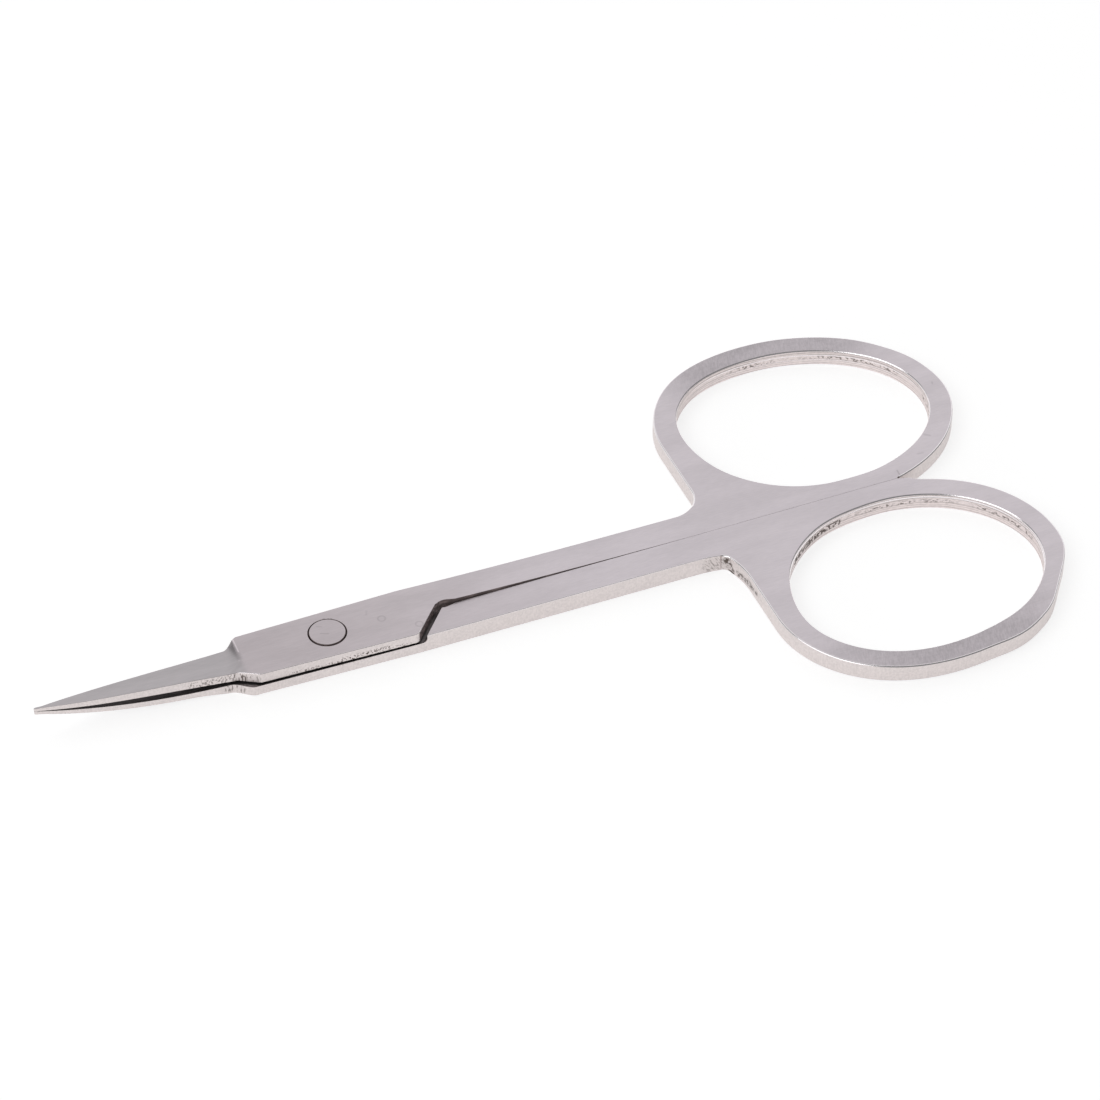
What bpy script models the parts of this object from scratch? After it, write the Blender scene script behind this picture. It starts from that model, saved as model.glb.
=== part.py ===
"""Eyebrow scissors: two flat steel halves crossed at a half lap and held by one flush rivet.

Metres, +Z up. The origin is the pivot axis on the surface that the scissors lie on.
The blades point to -X, the finger rings lie at +X, and the scissors are closed.
Both halves are one pattern of flat stamping: the lower one is turned over about the X axis.
They are drawn about the seam between the handles, and moved at the end to bring the pivot,
which sits a little off that line, to the origin.
The upper half turns about +Z, and a positive angle opens the scissors.
"""

import math

import bmesh
import bpy
from mathutils import Matrix

# Flat stock and the half lap where the halves cross
plate_thickness = 0.00172
lap_thickness = 0.00105
lap_gap = 0.0001
seam_gap = 0.00012
bar_half_width = 0.003
bar_shift = 0.00013
pivot_shift = 0.00015

# Step that ends each lap, and the open slot beside it
step_reach = 0.00745
step_angle = math.radians(49.5)
slot_width = 0.00058
slot_radius = 0.00055
slot_relief = 0.00012
slot_relief_length = 0.0019
lap_corner_radius = 0.00015

# Blade, measured back from the pivot
blade_reach = 0.0265
grind_start = 0.0081
upper_grind_length = 0.0009
lower_grind_delay = 0.0009
lower_grind_length = 0.0012
blade_root_reach = 0.0091
blade_root_half_width = 0.00167
tip_half_width = 0.00011
edge_shoulder_reach = 0.0077
edge_shoulder_half_width = 0.0028
spine_shoulder_reach = 0.0071
spine_shoulder_half_width = 0.00264
spine_shoulder_run = 0.0007
spine_shoulder_drop = 0.0006
shoulder_radius = 0.00035
spine_thickness = 0.00088
spine_tip_thickness = 0.0003
edge_thickness = 0.0006
edge_tip_thickness = 0.0003
blade_bow = 0.000185
sweep_radius = 0.118

# Finger ring
ring_reach = 0.05151
ring_offset = 0.01166
hole_half_length = 0.01212
hole_half_width = 0.00962
hole_tilt = math.radians(-7.3)
rim_width = 0.0022
lower_rim_drift = 0.0002
lower_rim_drift_angle = math.radians(-40.0)
notch_radius = 0.0028

# Rivet
rivet_radius = 0.00174
rivet_shank_radius = 0.0011
rivet_land = 0.00022
rivet_taper = 0.00045
rivet_clearance = 0.00005

# Broken edges of the handles, and how far cutters pass through the steel
handle_chamfer = 0.0001
overrun = 0.002

# Shares of the sizes above
belly_share = 0.8
egg_share = 0.0154
bow_skew_share = 0.35

spine_thinning_power = 2.2
edge_thinning_power = 4
flat_share = 0.9
upright_share = 0.1

egg_turn = math.radians(14.3)
blade_stations = 18
ring_points = 120
arc_step = math.radians(12.0)
sharp_angle = math.radians(25.0)
grind_steps = 3
rivet_steps = 64
same_place = 0.000001
merge_distance = 0.000002

joint_height = 2 * lap_thickness + lap_gap
joint_middle = joint_height / 2
lap_face = joint_middle + lap_gap / 2
seam = seam_gap / 2
handle_drop = joint_height - plate_thickness


def clear_scene():
    """Remove whatever the scene holds, so that the file can be run again."""
    for item in list(bpy.data.objects):
        bpy.data.objects.remove(item, do_unlink=True)
    for group in list(bpy.data.collections):
        bpy.data.collections.remove(group)


def new_collection(name):
    """Make a collection in the scene."""
    group = bpy.data.collections.new(name)
    bpy.context.scene.collection.children.link(group)
    return group


def steel(name, colour, roughness):
    """Satin stainless steel with its own grey and roughness."""
    material = bpy.data.materials.new(name)
    material.use_nodes = True
    shader = material.node_tree.nodes["Principled BSDF"]
    shader.inputs["Base Color"].default_value = (*colour, 1.0)
    shader.inputs["Metallic"].default_value = 1.0
    shader.inputs["Roughness"].default_value = roughness
    return material


def arc(before, corner, after, radius):
    """Points of the arc that rounds one corner, or the corner itself when it has no room."""
    to_before = (before[0] - corner[0], before[1] - corner[1])
    to_after = (after[0] - corner[0], after[1] - corner[1])
    length_before = math.hypot(*to_before)
    length_after = math.hypot(*to_after)
    unit_before = (to_before[0] / length_before, to_before[1] / length_before)
    unit_after = (to_after[0] / length_after, to_after[1] / length_after)
    cosine = unit_before[0] * unit_after[0] + unit_before[1] * unit_after[1]
    half_angle = math.acos(max(-1.0, min(1.0, cosine))) / 2
    room = min(length_before, length_after) / 2
    tangent = min(radius / math.tan(half_angle), room)
    radius = tangent * math.tan(half_angle)
    if radius < same_place:
        return [corner]
    bisector = (unit_before[0] + unit_after[0], unit_before[1] + unit_after[1])
    size = math.hypot(*bisector)
    reach = math.hypot(tangent, radius)
    centre = (corner[0] + bisector[0] / size * reach, corner[1] + bisector[1] / size * reach)
    first = math.atan2(
        corner[1] + unit_before[1] * tangent - centre[1],
        corner[0] + unit_before[0] * tangent - centre[0],
    )
    last = math.atan2(
        corner[1] + unit_after[1] * tangent - centre[1],
        corner[0] + unit_after[0] * tangent - centre[0],
    )
    sweep = (last - first + math.pi) % (2 * math.pi) - math.pi
    steps = max(2, math.ceil(abs(sweep) / arc_step))
    return [
        (
            centre[0] + radius * math.cos(first + sweep * step / steps),
            centre[1] + radius * math.sin(first + sweep * step / steps),
        )
        for step in range(steps + 1)
    ]


def rounded(corners):
    """Outline through (x, y, radius) corners, each with a radius made an arc."""
    points = []
    for index, (x, y, radius) in enumerate(corners):
        before = corners[index - 1][:2]
        after = corners[(index + 1) % len(corners)][:2]
        points.extend(arc(before, (x, y), after, radius) if radius else [(x, y)])
    return points


def hole_radius(angle):
    """Distance from the ring's centre to the edge of its egg-shaped hole."""
    turned = angle - hole_tilt
    across = math.hypot(hole_half_width * math.cos(turned), hole_half_length * math.sin(turned))
    oval = hole_half_length * hole_half_width / across
    return oval * (1 + egg_share * math.cos(3 * (angle - egg_turn)))


def hole_point(angle):
    """Point on the edge of the finger hole of the upper half."""
    radius = hole_radius(angle)
    return (ring_reach + radius * math.cos(angle), ring_offset + radius * math.sin(angle))


def hole_outline():
    """The whole finger hole."""
    return [hole_point(2 * math.pi * step / ring_points) for step in range(ring_points)]


def rim_point(angle, drift):
    """Point on the outside of the ring, one rim width out from the hole, shifted by the drift."""
    small = math.pi / ring_points
    ahead = hole_point(angle + small)
    behind = hole_point(angle - small)
    along = (ahead[0] - behind[0], ahead[1] - behind[1])
    size = math.hypot(*along)
    here = hole_point(angle)
    return (
        here[0] + rim_width * along[1] / size + drift * math.cos(lower_rim_drift_angle),
        here[1] - rim_width * along[0] / size + drift * math.sin(lower_rim_drift_angle),
    )


def rim_outline(drift):
    """The free outside of the ring, from its foremost point over the top to the seam."""
    points = [rim_point(2 * math.pi * step / ring_points, drift) for step in range(ring_points)]
    foremost = min(range(ring_points), key=lambda index: points[index][0])
    outline = []
    for step in range(ring_points):
        point = points[(foremost - step) % ring_points]
        if point[1] <= seam:
            last = outline[-1]
            share = (last[1] - seam) / (last[1] - point[1])
            outline.append((last[0] + share * (point[0] - last[0]), seam))
            break
        outline.append(point)
    return outline


def blade_share(x):
    """How far along the blade a point lies, from 0 where the grinding starts to 1 at the tip."""
    return max(0.0, min(1.0, (-grind_start - x) / (blade_reach - grind_start)))


def blade_half_width(x):
    """Half width of the blade, which keeps a belly before it runs out to the point."""
    share = max(0.0, (-blade_root_reach - x) / (blade_reach - blade_root_reach))
    full = blade_root_half_width * (1 - share) * (1 + belly_share * share**2)
    return max(tip_half_width, full)


def blade_middle(x, way):
    """Middle line of the blade, which leads from the shifted bar back to the seam's line."""
    share = max(0.0, (-blade_root_reach - x) / (blade_reach - blade_root_reach))
    return -way * bar_shift * (1 - share)


def blade_side(side, way):
    """Points along one side of the blade from its root to just short of the tip."""
    points = []
    for station in range(blade_stations):
        x = -blade_root_reach - (blade_reach - blade_root_reach) * station / blade_stations
        points.append((x, blade_middle(x, way) + side * blade_half_width(x)))
    return points


def step_x(y):
    """Where the slanted step of the lap stands at a height across the bar."""
    return step_reach + (bar_half_width - abs(y)) / math.tan(step_angle)


def half_outline(drift, way):
    """Outline of one half as it is stamped, with its ring at +Y."""
    rim = rim_outline(drift)
    shift = -way * bar_shift
    near_edge = shift - bar_half_width
    spine_shoulder_y = shift / 2 - spine_shoulder_half_width
    edge_shoulder_y = shift / 2 + edge_shoulder_half_width
    slot_root = step_reach + (bar_half_width + seam) / math.tan(step_angle)
    slot_end = slot_root + slot_relief_length
    spine_x = -spine_shoulder_reach - spine_shoulder_run
    spine_y = spine_shoulder_y + spine_shoulder_drop
    corners = [(slot_end, seam, 0), (slot_root, seam + slot_relief, slot_radius)]
    corners.append((step_x(near_edge), near_edge, lap_corner_radius))
    corners.append((-spine_shoulder_reach, spine_shoulder_y, shoulder_radius))
    corners.append((spine_x, spine_y, shoulder_radius))
    corners.extend((x, y, 0) for x, y in blade_side(-1, way))
    corners.append((-blade_reach, -tip_half_width / 2, 0))
    corners.append((-blade_reach, tip_half_width / 2, 0))
    edge_side = list(reversed(blade_side(1, way)))
    corners.extend((x, y, 0) for x, y in edge_side[:-1])
    corners.append((*edge_side[-1], shoulder_radius))
    corners.append((-edge_shoulder_reach, edge_shoulder_y, shoulder_radius))
    corners.append((step_reach, shift + bar_half_width, 0))
    corners.append((rim[0][0], bar_half_width, notch_radius))
    corners.extend((x, y, 0) for x, y in rim)
    return rounded(corners)


def flat_solid(name, outlines, low, high, group):
    """Closed solid between two levels from flat outlines, the inner ones being holes."""
    curve = bpy.data.curves.new(name, "CURVE")
    curve.dimensions = "2D"
    curve.fill_mode = "BOTH"
    curve.extrude = (high - low) / 2
    for outline in outlines:
        spline = curve.splines.new("POLY")
        spline.points.add(len(outline) - 1)
        for point, (x, y) in zip(spline.points, outline):
            point.co = (x, y, 0, 1)
        spline.use_cyclic_u = True
    drawn = bpy.data.objects.new(name + "_outline", curve)
    group.objects.link(drawn)
    drawn.location.z = (low + high) / 2
    bpy.context.view_layer.update()
    depsgraph = bpy.context.evaluated_depsgraph_get()
    mesh = bpy.data.meshes.new_from_object(drawn.evaluated_get(depsgraph))
    mesh.transform(drawn.matrix_world)
    bpy.data.objects.remove(drawn, do_unlink=True)
    shape = bmesh.new()
    shape.from_mesh(mesh)
    bmesh.ops.remove_doubles(shape, verts=shape.verts, dist=merge_distance)
    bmesh.ops.recalc_face_normals(shape, faces=shape.faces)
    shape.to_mesh(mesh)
    shape.free()
    solid = bpy.data.objects.new(name, mesh)
    group.objects.link(solid)
    return solid


def turned(name, profile, group):
    """Solid of revolution about Z from a profile that runs down its outer side."""
    mesh = bpy.data.meshes.new(name)
    edges = [(index, index + 1) for index in range(len(profile) - 1)]
    mesh.from_pydata([(radius, 0, level) for radius, level in profile], edges, [])
    solid = bpy.data.objects.new(name, mesh)
    group.objects.link(solid)
    screw = solid.modifiers.new("turn", "SCREW")
    screw.axis = "Z"
    screw.steps = rivet_steps
    screw.render_steps = rivet_steps
    screw.use_merge_vertices = True
    screw.merge_threshold = merge_distance
    return solid


def as_cutter(item):
    """Mark an object as a cutter that is not part of the scissors."""
    item.hide_render = True
    item.display_type = "WIRE"
    return item


def cut(solid, cutter):
    """Take a cutter out of a solid and keep the result as plain mesh."""
    modifier = solid.modifiers.new("cut", "BOOLEAN")
    modifier.operation = "DIFFERENCE"
    modifier.solver = "EXACT"
    modifier.object = cutter
    bpy.context.view_layer.update()
    depsgraph = bpy.context.evaluated_depsgraph_get()
    result = bpy.data.meshes.new_from_object(solid.evaluated_get(depsgraph))
    solid.modifiers.clear()
    solid.data = result


def rivet_profile(clearance, beyond):
    """Profile of the rivet, or of the seat around it when it is given a clearance."""
    head = rivet_radius + clearance
    shank = rivet_shank_radius + clearance
    top = joint_height + beyond
    low = -beyond
    return [
        (0, top),
        (head, top),
        (head, joint_height - rivet_land),
        (shank, joint_height - rivet_land - rivet_taper),
        (shank, rivet_land + rivet_taper),
        (head, rivet_land),
        (head, low),
        (0, low),
    ]


def lap_pocket(group):
    """Cutter for the steel that is milled away under the lap and the blade."""
    far = bar_half_width + overrun
    slot_shift = slot_width / math.sin(step_angle)
    outline = [
        (step_x(0) + slot_shift + far / math.tan(step_angle), -far),
        (step_x(0) + slot_shift - far / math.tan(step_angle), far),
        (-blade_reach - overrun, far),
        (-blade_reach - overrun, -far),
    ]
    return as_cutter(flat_solid("lap_pocket", [outline], -overrun, lap_face, group))


def blade_inner(x):
    """Height of the inner face of the upper blade: swept up, and bowed clear of the other."""
    share = blade_share(x)
    beyond = max(0.0, -grind_start - x)
    swept = beyond**2 / (2 * sweep_radius)
    bow = blade_bow * math.sin(math.pi * share) * (1 + bow_skew_share * math.cos(math.pi * share))
    return swept, lap_gap / 2 + bow


def blade_thickness(x, from_middle, start, length):
    """Thickness of the ground blade, thick at its spine and thin at its cutting edge."""
    share = blade_share(x)
    spine = spine_thickness + (spine_tip_thickness - spine_thickness) * share**spine_thinning_power
    edge = edge_thickness + (edge_tip_thickness - edge_thickness) * share**edge_thinning_power
    across = (1 + max(-1.0, min(1.0, from_middle / blade_half_width(x)))) / 2
    ground = spine + (edge - spine) * across
    depth = min(1.0, max(0.0, -start - x) / length)
    return lap_thickness + (ground - lap_thickness) * math.sin(depth * math.pi / 2)


def split_across(shape, places):
    """Cut the faces of a mesh across at the given places along X."""
    for x in places:
        everything = shape.verts[:] + shape.edges[:] + shape.faces[:]
        bmesh.ops.bisect_plane(
            shape, geom=everything, dist=same_place, plane_co=(x, 0, 0), plane_no=(1, 0, 0)
        )


def grind_blade(shape, way):
    """Shape the blade of a half. way is 1 for the upper half and -1 for the lower one."""
    start = grind_start if way > 0 else grind_start + lower_grind_delay
    length = upper_grind_length if way > 0 else lower_grind_length
    places = [-start - length * step / grind_steps for step in range(grind_steps + 1)]
    places += [-grind_start]
    places += [x for x, _ in blade_side(1, way)[1:]]
    split_across(shape, places)
    for vert in shape.verts:
        x, y, z = vert.co
        if x >= -grind_start:
            continue
        swept, opening = blade_inner(x)
        inside = abs(way * (z - joint_middle) - lap_gap / 2) < same_place
        from_middle = way * y - blade_middle(x, way)
        thickness = 0 if inside else blade_thickness(x, from_middle, start, length)
        vert.co.z = joint_middle + swept + way * (opening + thickness)


def lower_handle(shape, ring_start):
    """Bend the upper shank down so that its ring lies on the same surface as the other."""
    split_across(shape, [step_reach, ring_start])
    for vert in shape.verts:
        share = (vert.co.x - step_reach) / (ring_start - step_reach)
        vert.co.z -= handle_drop * max(0.0, min(1.0, share))


def mark_handle_edges(shape):
    """Give the outer edges of joint, shank and ring their weight for the chamfer."""
    weight = shape.edges.layers.float.new("bevel_weight_edge")
    seat_zone = rivet_radius + 2 * rivet_clearance
    for edge in shape.edges:
        if min(vert.co.x for vert in edge.verts) < -grind_start + same_place:
            continue
        if len(edge.link_faces) != 2:
            continue
        outward = [abs(face.normal.z) for face in edge.link_faces]
        near_pivot = all(math.hypot(vert.co.x, vert.co.y) < seat_zone for vert in edge.verts)
        square = max(outward) > flat_share and min(outward) < upright_share
        if square and edge.is_convex and not near_pivot:
            edge[weight] = 1.0


def make_half(name, way, drift, material, group, pocket, seat):
    """One half of the scissors. way is 1 for the upper half and -1 for the lower one."""
    outline = half_outline(drift, way)
    half = flat_solid(name, [outline, hole_outline()], handle_drop, joint_height, group)
    cut(half, pocket)
    if way < 0:
        middle = Matrix.Translation((0, 0, joint_middle))
        half.data.transform(middle @ Matrix.Rotation(math.pi, 4, "X") @ middle.inverted())
    shape = bmesh.new()
    shape.from_mesh(half.data)
    bmesh.ops.remove_doubles(shape, verts=shape.verts, dist=merge_distance)
    grind_blade(shape, way)
    if way > 0:
        lower_handle(shape, min(x for x, _ in rim_outline(drift)))
    bmesh.ops.recalc_face_normals(shape, faces=shape.faces)
    shape.to_mesh(half.data)
    shape.free()
    half.data.transform(Matrix.Translation((0, -pivot_shift, 0)))
    cut(half, seat)
    shape = bmesh.new()
    shape.from_mesh(half.data)
    bmesh.ops.remove_doubles(shape, verts=shape.verts, dist=merge_distance)
    shape.normal_update()
    mark_handle_edges(shape)
    shape.to_mesh(half.data)
    shape.free()
    half.data.materials.clear()
    half.data.materials.append(material)
    half.data.shade_smooth()
    half.data.set_sharp_from_angle(angle=sharp_angle)
    bevel = half.modifiers.new("broken_edges", "BEVEL")
    bevel.limit_method = "WEIGHT"
    bevel.width = handle_chamfer
    bevel.segments = 1
    return half


def make_rivet(group):
    """Flush rivet with a countersunk end in each half."""
    rivet = turned("pivot_rivet", rivet_profile(0, 0), group)
    rivet.data.materials.append(steel("rivet_steel", (0.56, 0.55, 0.55), 0.38))
    rivet.data.shade_smooth()
    return rivet


def main():
    """Build the closed scissors."""
    clear_scene()
    group = new_collection("eyebrow_scissors")
    cutters = new_collection("cutters")
    pocket = lap_pocket(cutters)
    seat = as_cutter(turned("rivet_seat", rivet_profile(rivet_clearance, overrun), cutters))
    upper_steel = steel("upper_steel", (0.55, 0.54, 0.54), 0.36)
    lower_steel = steel("lower_steel", (0.55, 0.54, 0.55), 0.36)
    make_half("upper_half", 1, 0, upper_steel, group, pocket, seat)
    make_half("lower_half", -1, lower_rim_drift, lower_steel, group, pocket, seat)
    make_rivet(group)


main()
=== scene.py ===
import math

import bmesh
import bpy
from mathutils import Matrix, Vector


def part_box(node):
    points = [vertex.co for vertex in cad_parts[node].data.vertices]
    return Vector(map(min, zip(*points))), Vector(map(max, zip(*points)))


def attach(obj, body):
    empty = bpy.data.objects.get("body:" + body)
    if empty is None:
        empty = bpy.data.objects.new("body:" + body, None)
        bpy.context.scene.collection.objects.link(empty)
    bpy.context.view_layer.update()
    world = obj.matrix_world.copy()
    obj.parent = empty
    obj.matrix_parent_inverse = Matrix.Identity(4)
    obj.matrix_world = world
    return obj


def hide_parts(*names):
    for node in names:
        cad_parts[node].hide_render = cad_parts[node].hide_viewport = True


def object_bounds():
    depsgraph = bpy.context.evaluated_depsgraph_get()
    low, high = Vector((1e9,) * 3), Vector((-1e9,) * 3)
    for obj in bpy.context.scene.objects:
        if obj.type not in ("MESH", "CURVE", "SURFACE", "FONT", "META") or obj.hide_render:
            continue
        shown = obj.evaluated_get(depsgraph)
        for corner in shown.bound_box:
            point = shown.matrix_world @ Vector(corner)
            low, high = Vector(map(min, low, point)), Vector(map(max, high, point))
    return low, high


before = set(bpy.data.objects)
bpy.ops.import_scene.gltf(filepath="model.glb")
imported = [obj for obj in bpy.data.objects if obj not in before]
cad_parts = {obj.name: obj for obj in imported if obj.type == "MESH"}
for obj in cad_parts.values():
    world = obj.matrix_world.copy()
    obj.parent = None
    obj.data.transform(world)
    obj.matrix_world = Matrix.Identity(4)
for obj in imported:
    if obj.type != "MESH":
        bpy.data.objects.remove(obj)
cad_low, cad_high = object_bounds()
print("CAD box in mm:", [round(1000 * (high - low), 2) for low, high in zip(cad_low, cad_high)])

# %% [markdown]
# The scissors are all steel, so the whole picture rests on two things: true edges that catch the
# light, and satin surfaces that are not one even grey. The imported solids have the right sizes, but
# their rounds are faceted and their edges are bare. So each half is modelled again here, as a
# toolmaker makes it: an outline is stamped from sheet, its edges are broken, the lap is milled
# away, the blade is ground, and the rings are punched. The upper half ends in the far ring, and the
# lower half, the same stamping turned over, in the near one. Wherever the two differ, a formula is
# given a way, which is 1 for the upper half and -1 for the lower one.
#
# Blender's operators merge and snap at distances that suit objects of a metre. Scissors of 92 mm
# are therefore drawn with one unit to a millimetre, and each finished piece is brought to metres.

# %% Sizes of the stock and of the joint, in millimetres
MM = 0.001
PLATE = 1.72
LAP_GAP = 0.2
SEAM = 0.085
SEAM_SHUT = 0.011
SEAM_SHUT_REACH = 35.0
SEAM_DRIFT, SEAM_DRIFT_REACH = 0.18, 54.0
PIVOT_SHIFT = 0.15
BAR_SHIFT = 0.13
BAR_HALF_WIDTH = 3.0

rivet_low, rivet_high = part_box("pivot_rivet")
JOINT_HEIGHT = (rivet_high.z - rivet_low.z) / MM
RIVET_RADIUS = (rivet_high.x - rivet_low.x) / 2 / MM
JOINT_MIDDLE = JOINT_HEIGHT / 2
LAP_FACE = JOINT_MIDDLE + LAP_GAP / 2
LAP = JOINT_HEIGHT - LAP_FACE
HANDLE_DROP = JOINT_HEIGHT - PLATE
print("joint height", round(JOINT_HEIGHT, 3), "rivet radius", round(RIVET_RADIUS, 3))

# %% [markdown]
# Everything below is done in edit mode, the way it would be done by hand. Small helpers keep that
# readable: one picks the only piece to work on, one enters edit mode with nothing selected, one
# selects faces, edges or vertices by a test on their place, and one cuts a tool out of a piece.
# Places less than a thousandth of a millimetre apart count as the same, and a normal that keeps
# nine tenths of its length along an axis looks along it.

# %% Helpers for working in edit mode
SAME = 0.001
CUT_MERGE = 0.0001
FACING = 0.9


def work_on(piece):
    """Make one piece the only selected and active one."""
    bpy.ops.object.select_all(action="DESELECT")
    piece.select_set(True)
    bpy.context.view_layer.objects.active = piece


def enter(piece, kind="VERT"):
    """Enter edit mode on one piece with nothing selected."""
    work_on(piece)
    bpy.ops.object.mode_set(mode="EDIT")
    bpy.ops.mesh.select_mode(type=kind)
    bpy.ops.mesh.select_all(action="DESELECT")


def leave():
    """Go back to object mode."""
    bpy.ops.object.mode_set(mode="OBJECT")


def pick(piece, kind, test):
    """In edit mode, select the verts, edges or faces that pass a test."""
    shape = bmesh.from_edit_mesh(piece.data)
    found = [part for part in getattr(shape, kind) if test(part)]
    for part in found:
        part.select_set(True)
    bmesh.update_edit_mesh(piece.data)


def near(value, target):
    """Whether two lengths are the same."""
    return abs(value - target) < SAME


def cut_out(piece, tool):
    """Cut a tool out of a piece, and remove the tool."""
    work_on(piece)
    modifier = piece.modifiers.new("cut", "BOOLEAN")
    modifier.operation = "DIFFERENCE"
    modifier.solver = "EXACT"
    modifier.object = tool
    bpy.ops.object.modifier_apply(modifier=modifier.name)
    bpy.data.objects.remove(tool, do_unlink=True)


def report_mesh(piece, words):
    """Print how a piece stands, with its open edges, which have to be none."""
    shape = bmesh.new()
    shape.from_mesh(piece.data)
    bad = sum(1 for edge in shape.edges if len(edge.link_faces) != 2)
    print(words, piece.name, "faces", len(shape.faces), "open edges", bad)
    shape.free()


# %% [markdown]
# The finger hole is an oval that is a little fuller on one side, like an egg. It is written as a
# radius for each angle, so the same few numbers give the hole, the rim round it and the punch. Both
# rings were trued by hand after stamping, so neither is quite the oval. Each place that was worked
# is a swell: an angle, how far it reaches round, and how far the edge lies outside the oval there.
# The largest is a hollow: the near ring was ground back by over half a millimetre at its outer end.

# %% Sizes and formula of the finger ring
RING_REACH = 51.51
RING_OFFSET = 11.66
HOLE_HALF_LENGTH = 12.12
HOLE_HALF_WIDTH = 9.62
HOLE_TILT = math.radians(-7.3)
EGG_SHARE, EGG_LOBES = 0.0154, 3
EGG_TURN = math.radians(14.3)
RIM_WIDTH = 2.196
RING_POINTS = 160
HOLE_SWELLS = {
    1: [(-130, 42, 0.2), (180, 28, -0.2), (108, 34, -0.13), (-88, 18, -0.08)],
    -1: [(-176, 26, -0.19), (-98, 28, -0.18), (-48, 36, 0.14), (50, 28, 0.1)],
}
RIM_SWELLS = {
    1: [(108, 34, -0.12), (-7, 18, 0.09), (28, 14, -0.07)],
    -1: [
        (-40, 42, 0.26),
        (-69, 13, 0.29),
        (100, 75, -0.155),
        (185, 60, -0.12),
        (24, 22, -0.6),
        (62, 22, 0.27),
    ],
}


def oval_point(angle, outwards=0.0):
    """Point of the true oval at an angle, moved outwards along the oval's normal."""

    def bare(angle):
        turned = angle - HOLE_TILT
        across = math.hypot(HOLE_HALF_WIDTH * math.cos(turned), HOLE_HALF_LENGTH * math.sin(turned))
        radius = HOLE_HALF_LENGTH * HOLE_HALF_WIDTH / across
        radius *= 1 + EGG_SHARE * math.cos(EGG_LOBES * (angle - EGG_TURN))
        x, y = RING_REACH + radius * math.cos(angle), RING_OFFSET + radius * math.sin(angle)
        return Vector((x, y, 0))

    step = math.pi / RING_POINTS
    along = (bare(angle + step) - bare(angle - step)).normalized()
    return bare(angle) + outwards * Vector((along.y, -along.x, 0))


def swelling(angle, swells):
    """How far the swells of an edge lift it outwards at an angle."""
    lift = 0.0
    for middle, reach, height in swells:
        away = abs((math.degrees(angle) - middle + 180) % 360 - 180)
        if away < reach:
            lift += height * (1 + math.cos(math.pi * away / reach)) / 2
    return lift


def hole_point(angle, way, outwards=0.0):
    """Point of the finger hole's edge in one half, moved outwards."""
    return oval_point(angle, outwards + swelling(angle, HOLE_SWELLS[way]))


def rim_point(angle, way):
    """Point of the ring's outside in one half."""
    return oval_point(angle, RIM_WIDTH + swelling(angle, RIM_SWELLS[way]))


print("hole length", round(2 * HOLE_HALF_LENGTH, 2), "width", round(2 * HOLE_HALF_WIDTH, 2), "mm")

# %% [markdown]
# The stamped outline starts as a circle of loose edges, shaped to the rim. It is cut off straight
# at the seam, opened on the side of the shank, and its free end is extruded corner by corner round
# shank, joint and slanted step, until it meets the seam again. A face fills it, the inside corners
# are rounded, and one extrusion makes it a plate. Drawing the outline first keeps each wall in one
# clean strip, which a union of bars and rings would not.

# %% Sizes and formulas of the outline
STEP_REACH = 7.45
STEP_ANGLE = math.radians(49.5)
SLOT_RELIEF = 0.28
SLOT_RELIEF_PEAK, SLOT_RELIEF_END = 0.75, 1.95
SLOT_RELIEF_RADIUS = 0.4
STEP_CORNER_RADIUS = 0.3
JOINT_END = -6.0
EDGE_SHOULDER_REACH = 7.7
EDGE_SHOULDER_HALF_WIDTH = {1: 2.68, -1: 2.8}
SPINE_SHOULDER_REACH = 7.1
SPINE_SHOULDER_HALF_WIDTH = 2.64
CORNER_SEGMENTS = 12
NOTCHES = {
    1: [(0.0, 0.0, 2.8)],
    -1: [(0.0, 2.7, 1.2), (-0.75, 0.5, 0.45), (-2.2, 0.13, 1.2)],
}


def on_line(x, start, end):
    """Height at x of the straight line through two points."""
    return start[1] + (end[1] - start[1]) * (x - start[0]) / (end[0] - start[0])


def step_x(y):
    """Where the slanted step stands at a height across the bar."""
    return STEP_REACH + (BAR_HALF_WIDTH - abs(y)) / math.tan(STEP_ANGLE)


def bar_sides(way):
    """Near and far side of the joint's bar, which lies a little off the middle."""
    return -way * BAR_SHIFT - BAR_HALF_WIDTH, -way * BAR_SHIFT + BAR_HALF_WIDTH


def edge_side_y(x, way):
    """Side of the joint that leads to the cutting edge."""
    far_side = bar_sides(way)[1]
    shoulder = (-EDGE_SHOULDER_REACH, -way * BAR_SHIFT / 2 + EDGE_SHOULDER_HALF_WIDTH[way])
    return on_line(x, (STEP_REACH, far_side), shoulder)


def spine_side_y(x, way):
    """Side of the joint that leads to the blade's spine."""
    near_side = bar_sides(way)[0]
    shoulder = (-SPINE_SHOULDER_REACH, -way * BAR_SHIFT / 2 - SPINE_SHOULDER_HALF_WIDTH)
    return on_line(x, (step_x(near_side), near_side), shoulder)


def seam_end(way):
    """Height of the seam at the rings, where it has drifted off the middle a little."""
    return SEAM_SHUT + way * SEAM_DRIFT


print("slanted step from", STEP_REACH, "to", round(step_x(0), 2), "mm beyond the rivet")

# %% [markdown]
# Three moves draw any flat outline with straight and round parts: a circle is shaped and cut open,
# its end is extruded from corner to corner, and single vertices are bevelled to round the corners.

# %% Moves that draw an outline


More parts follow.
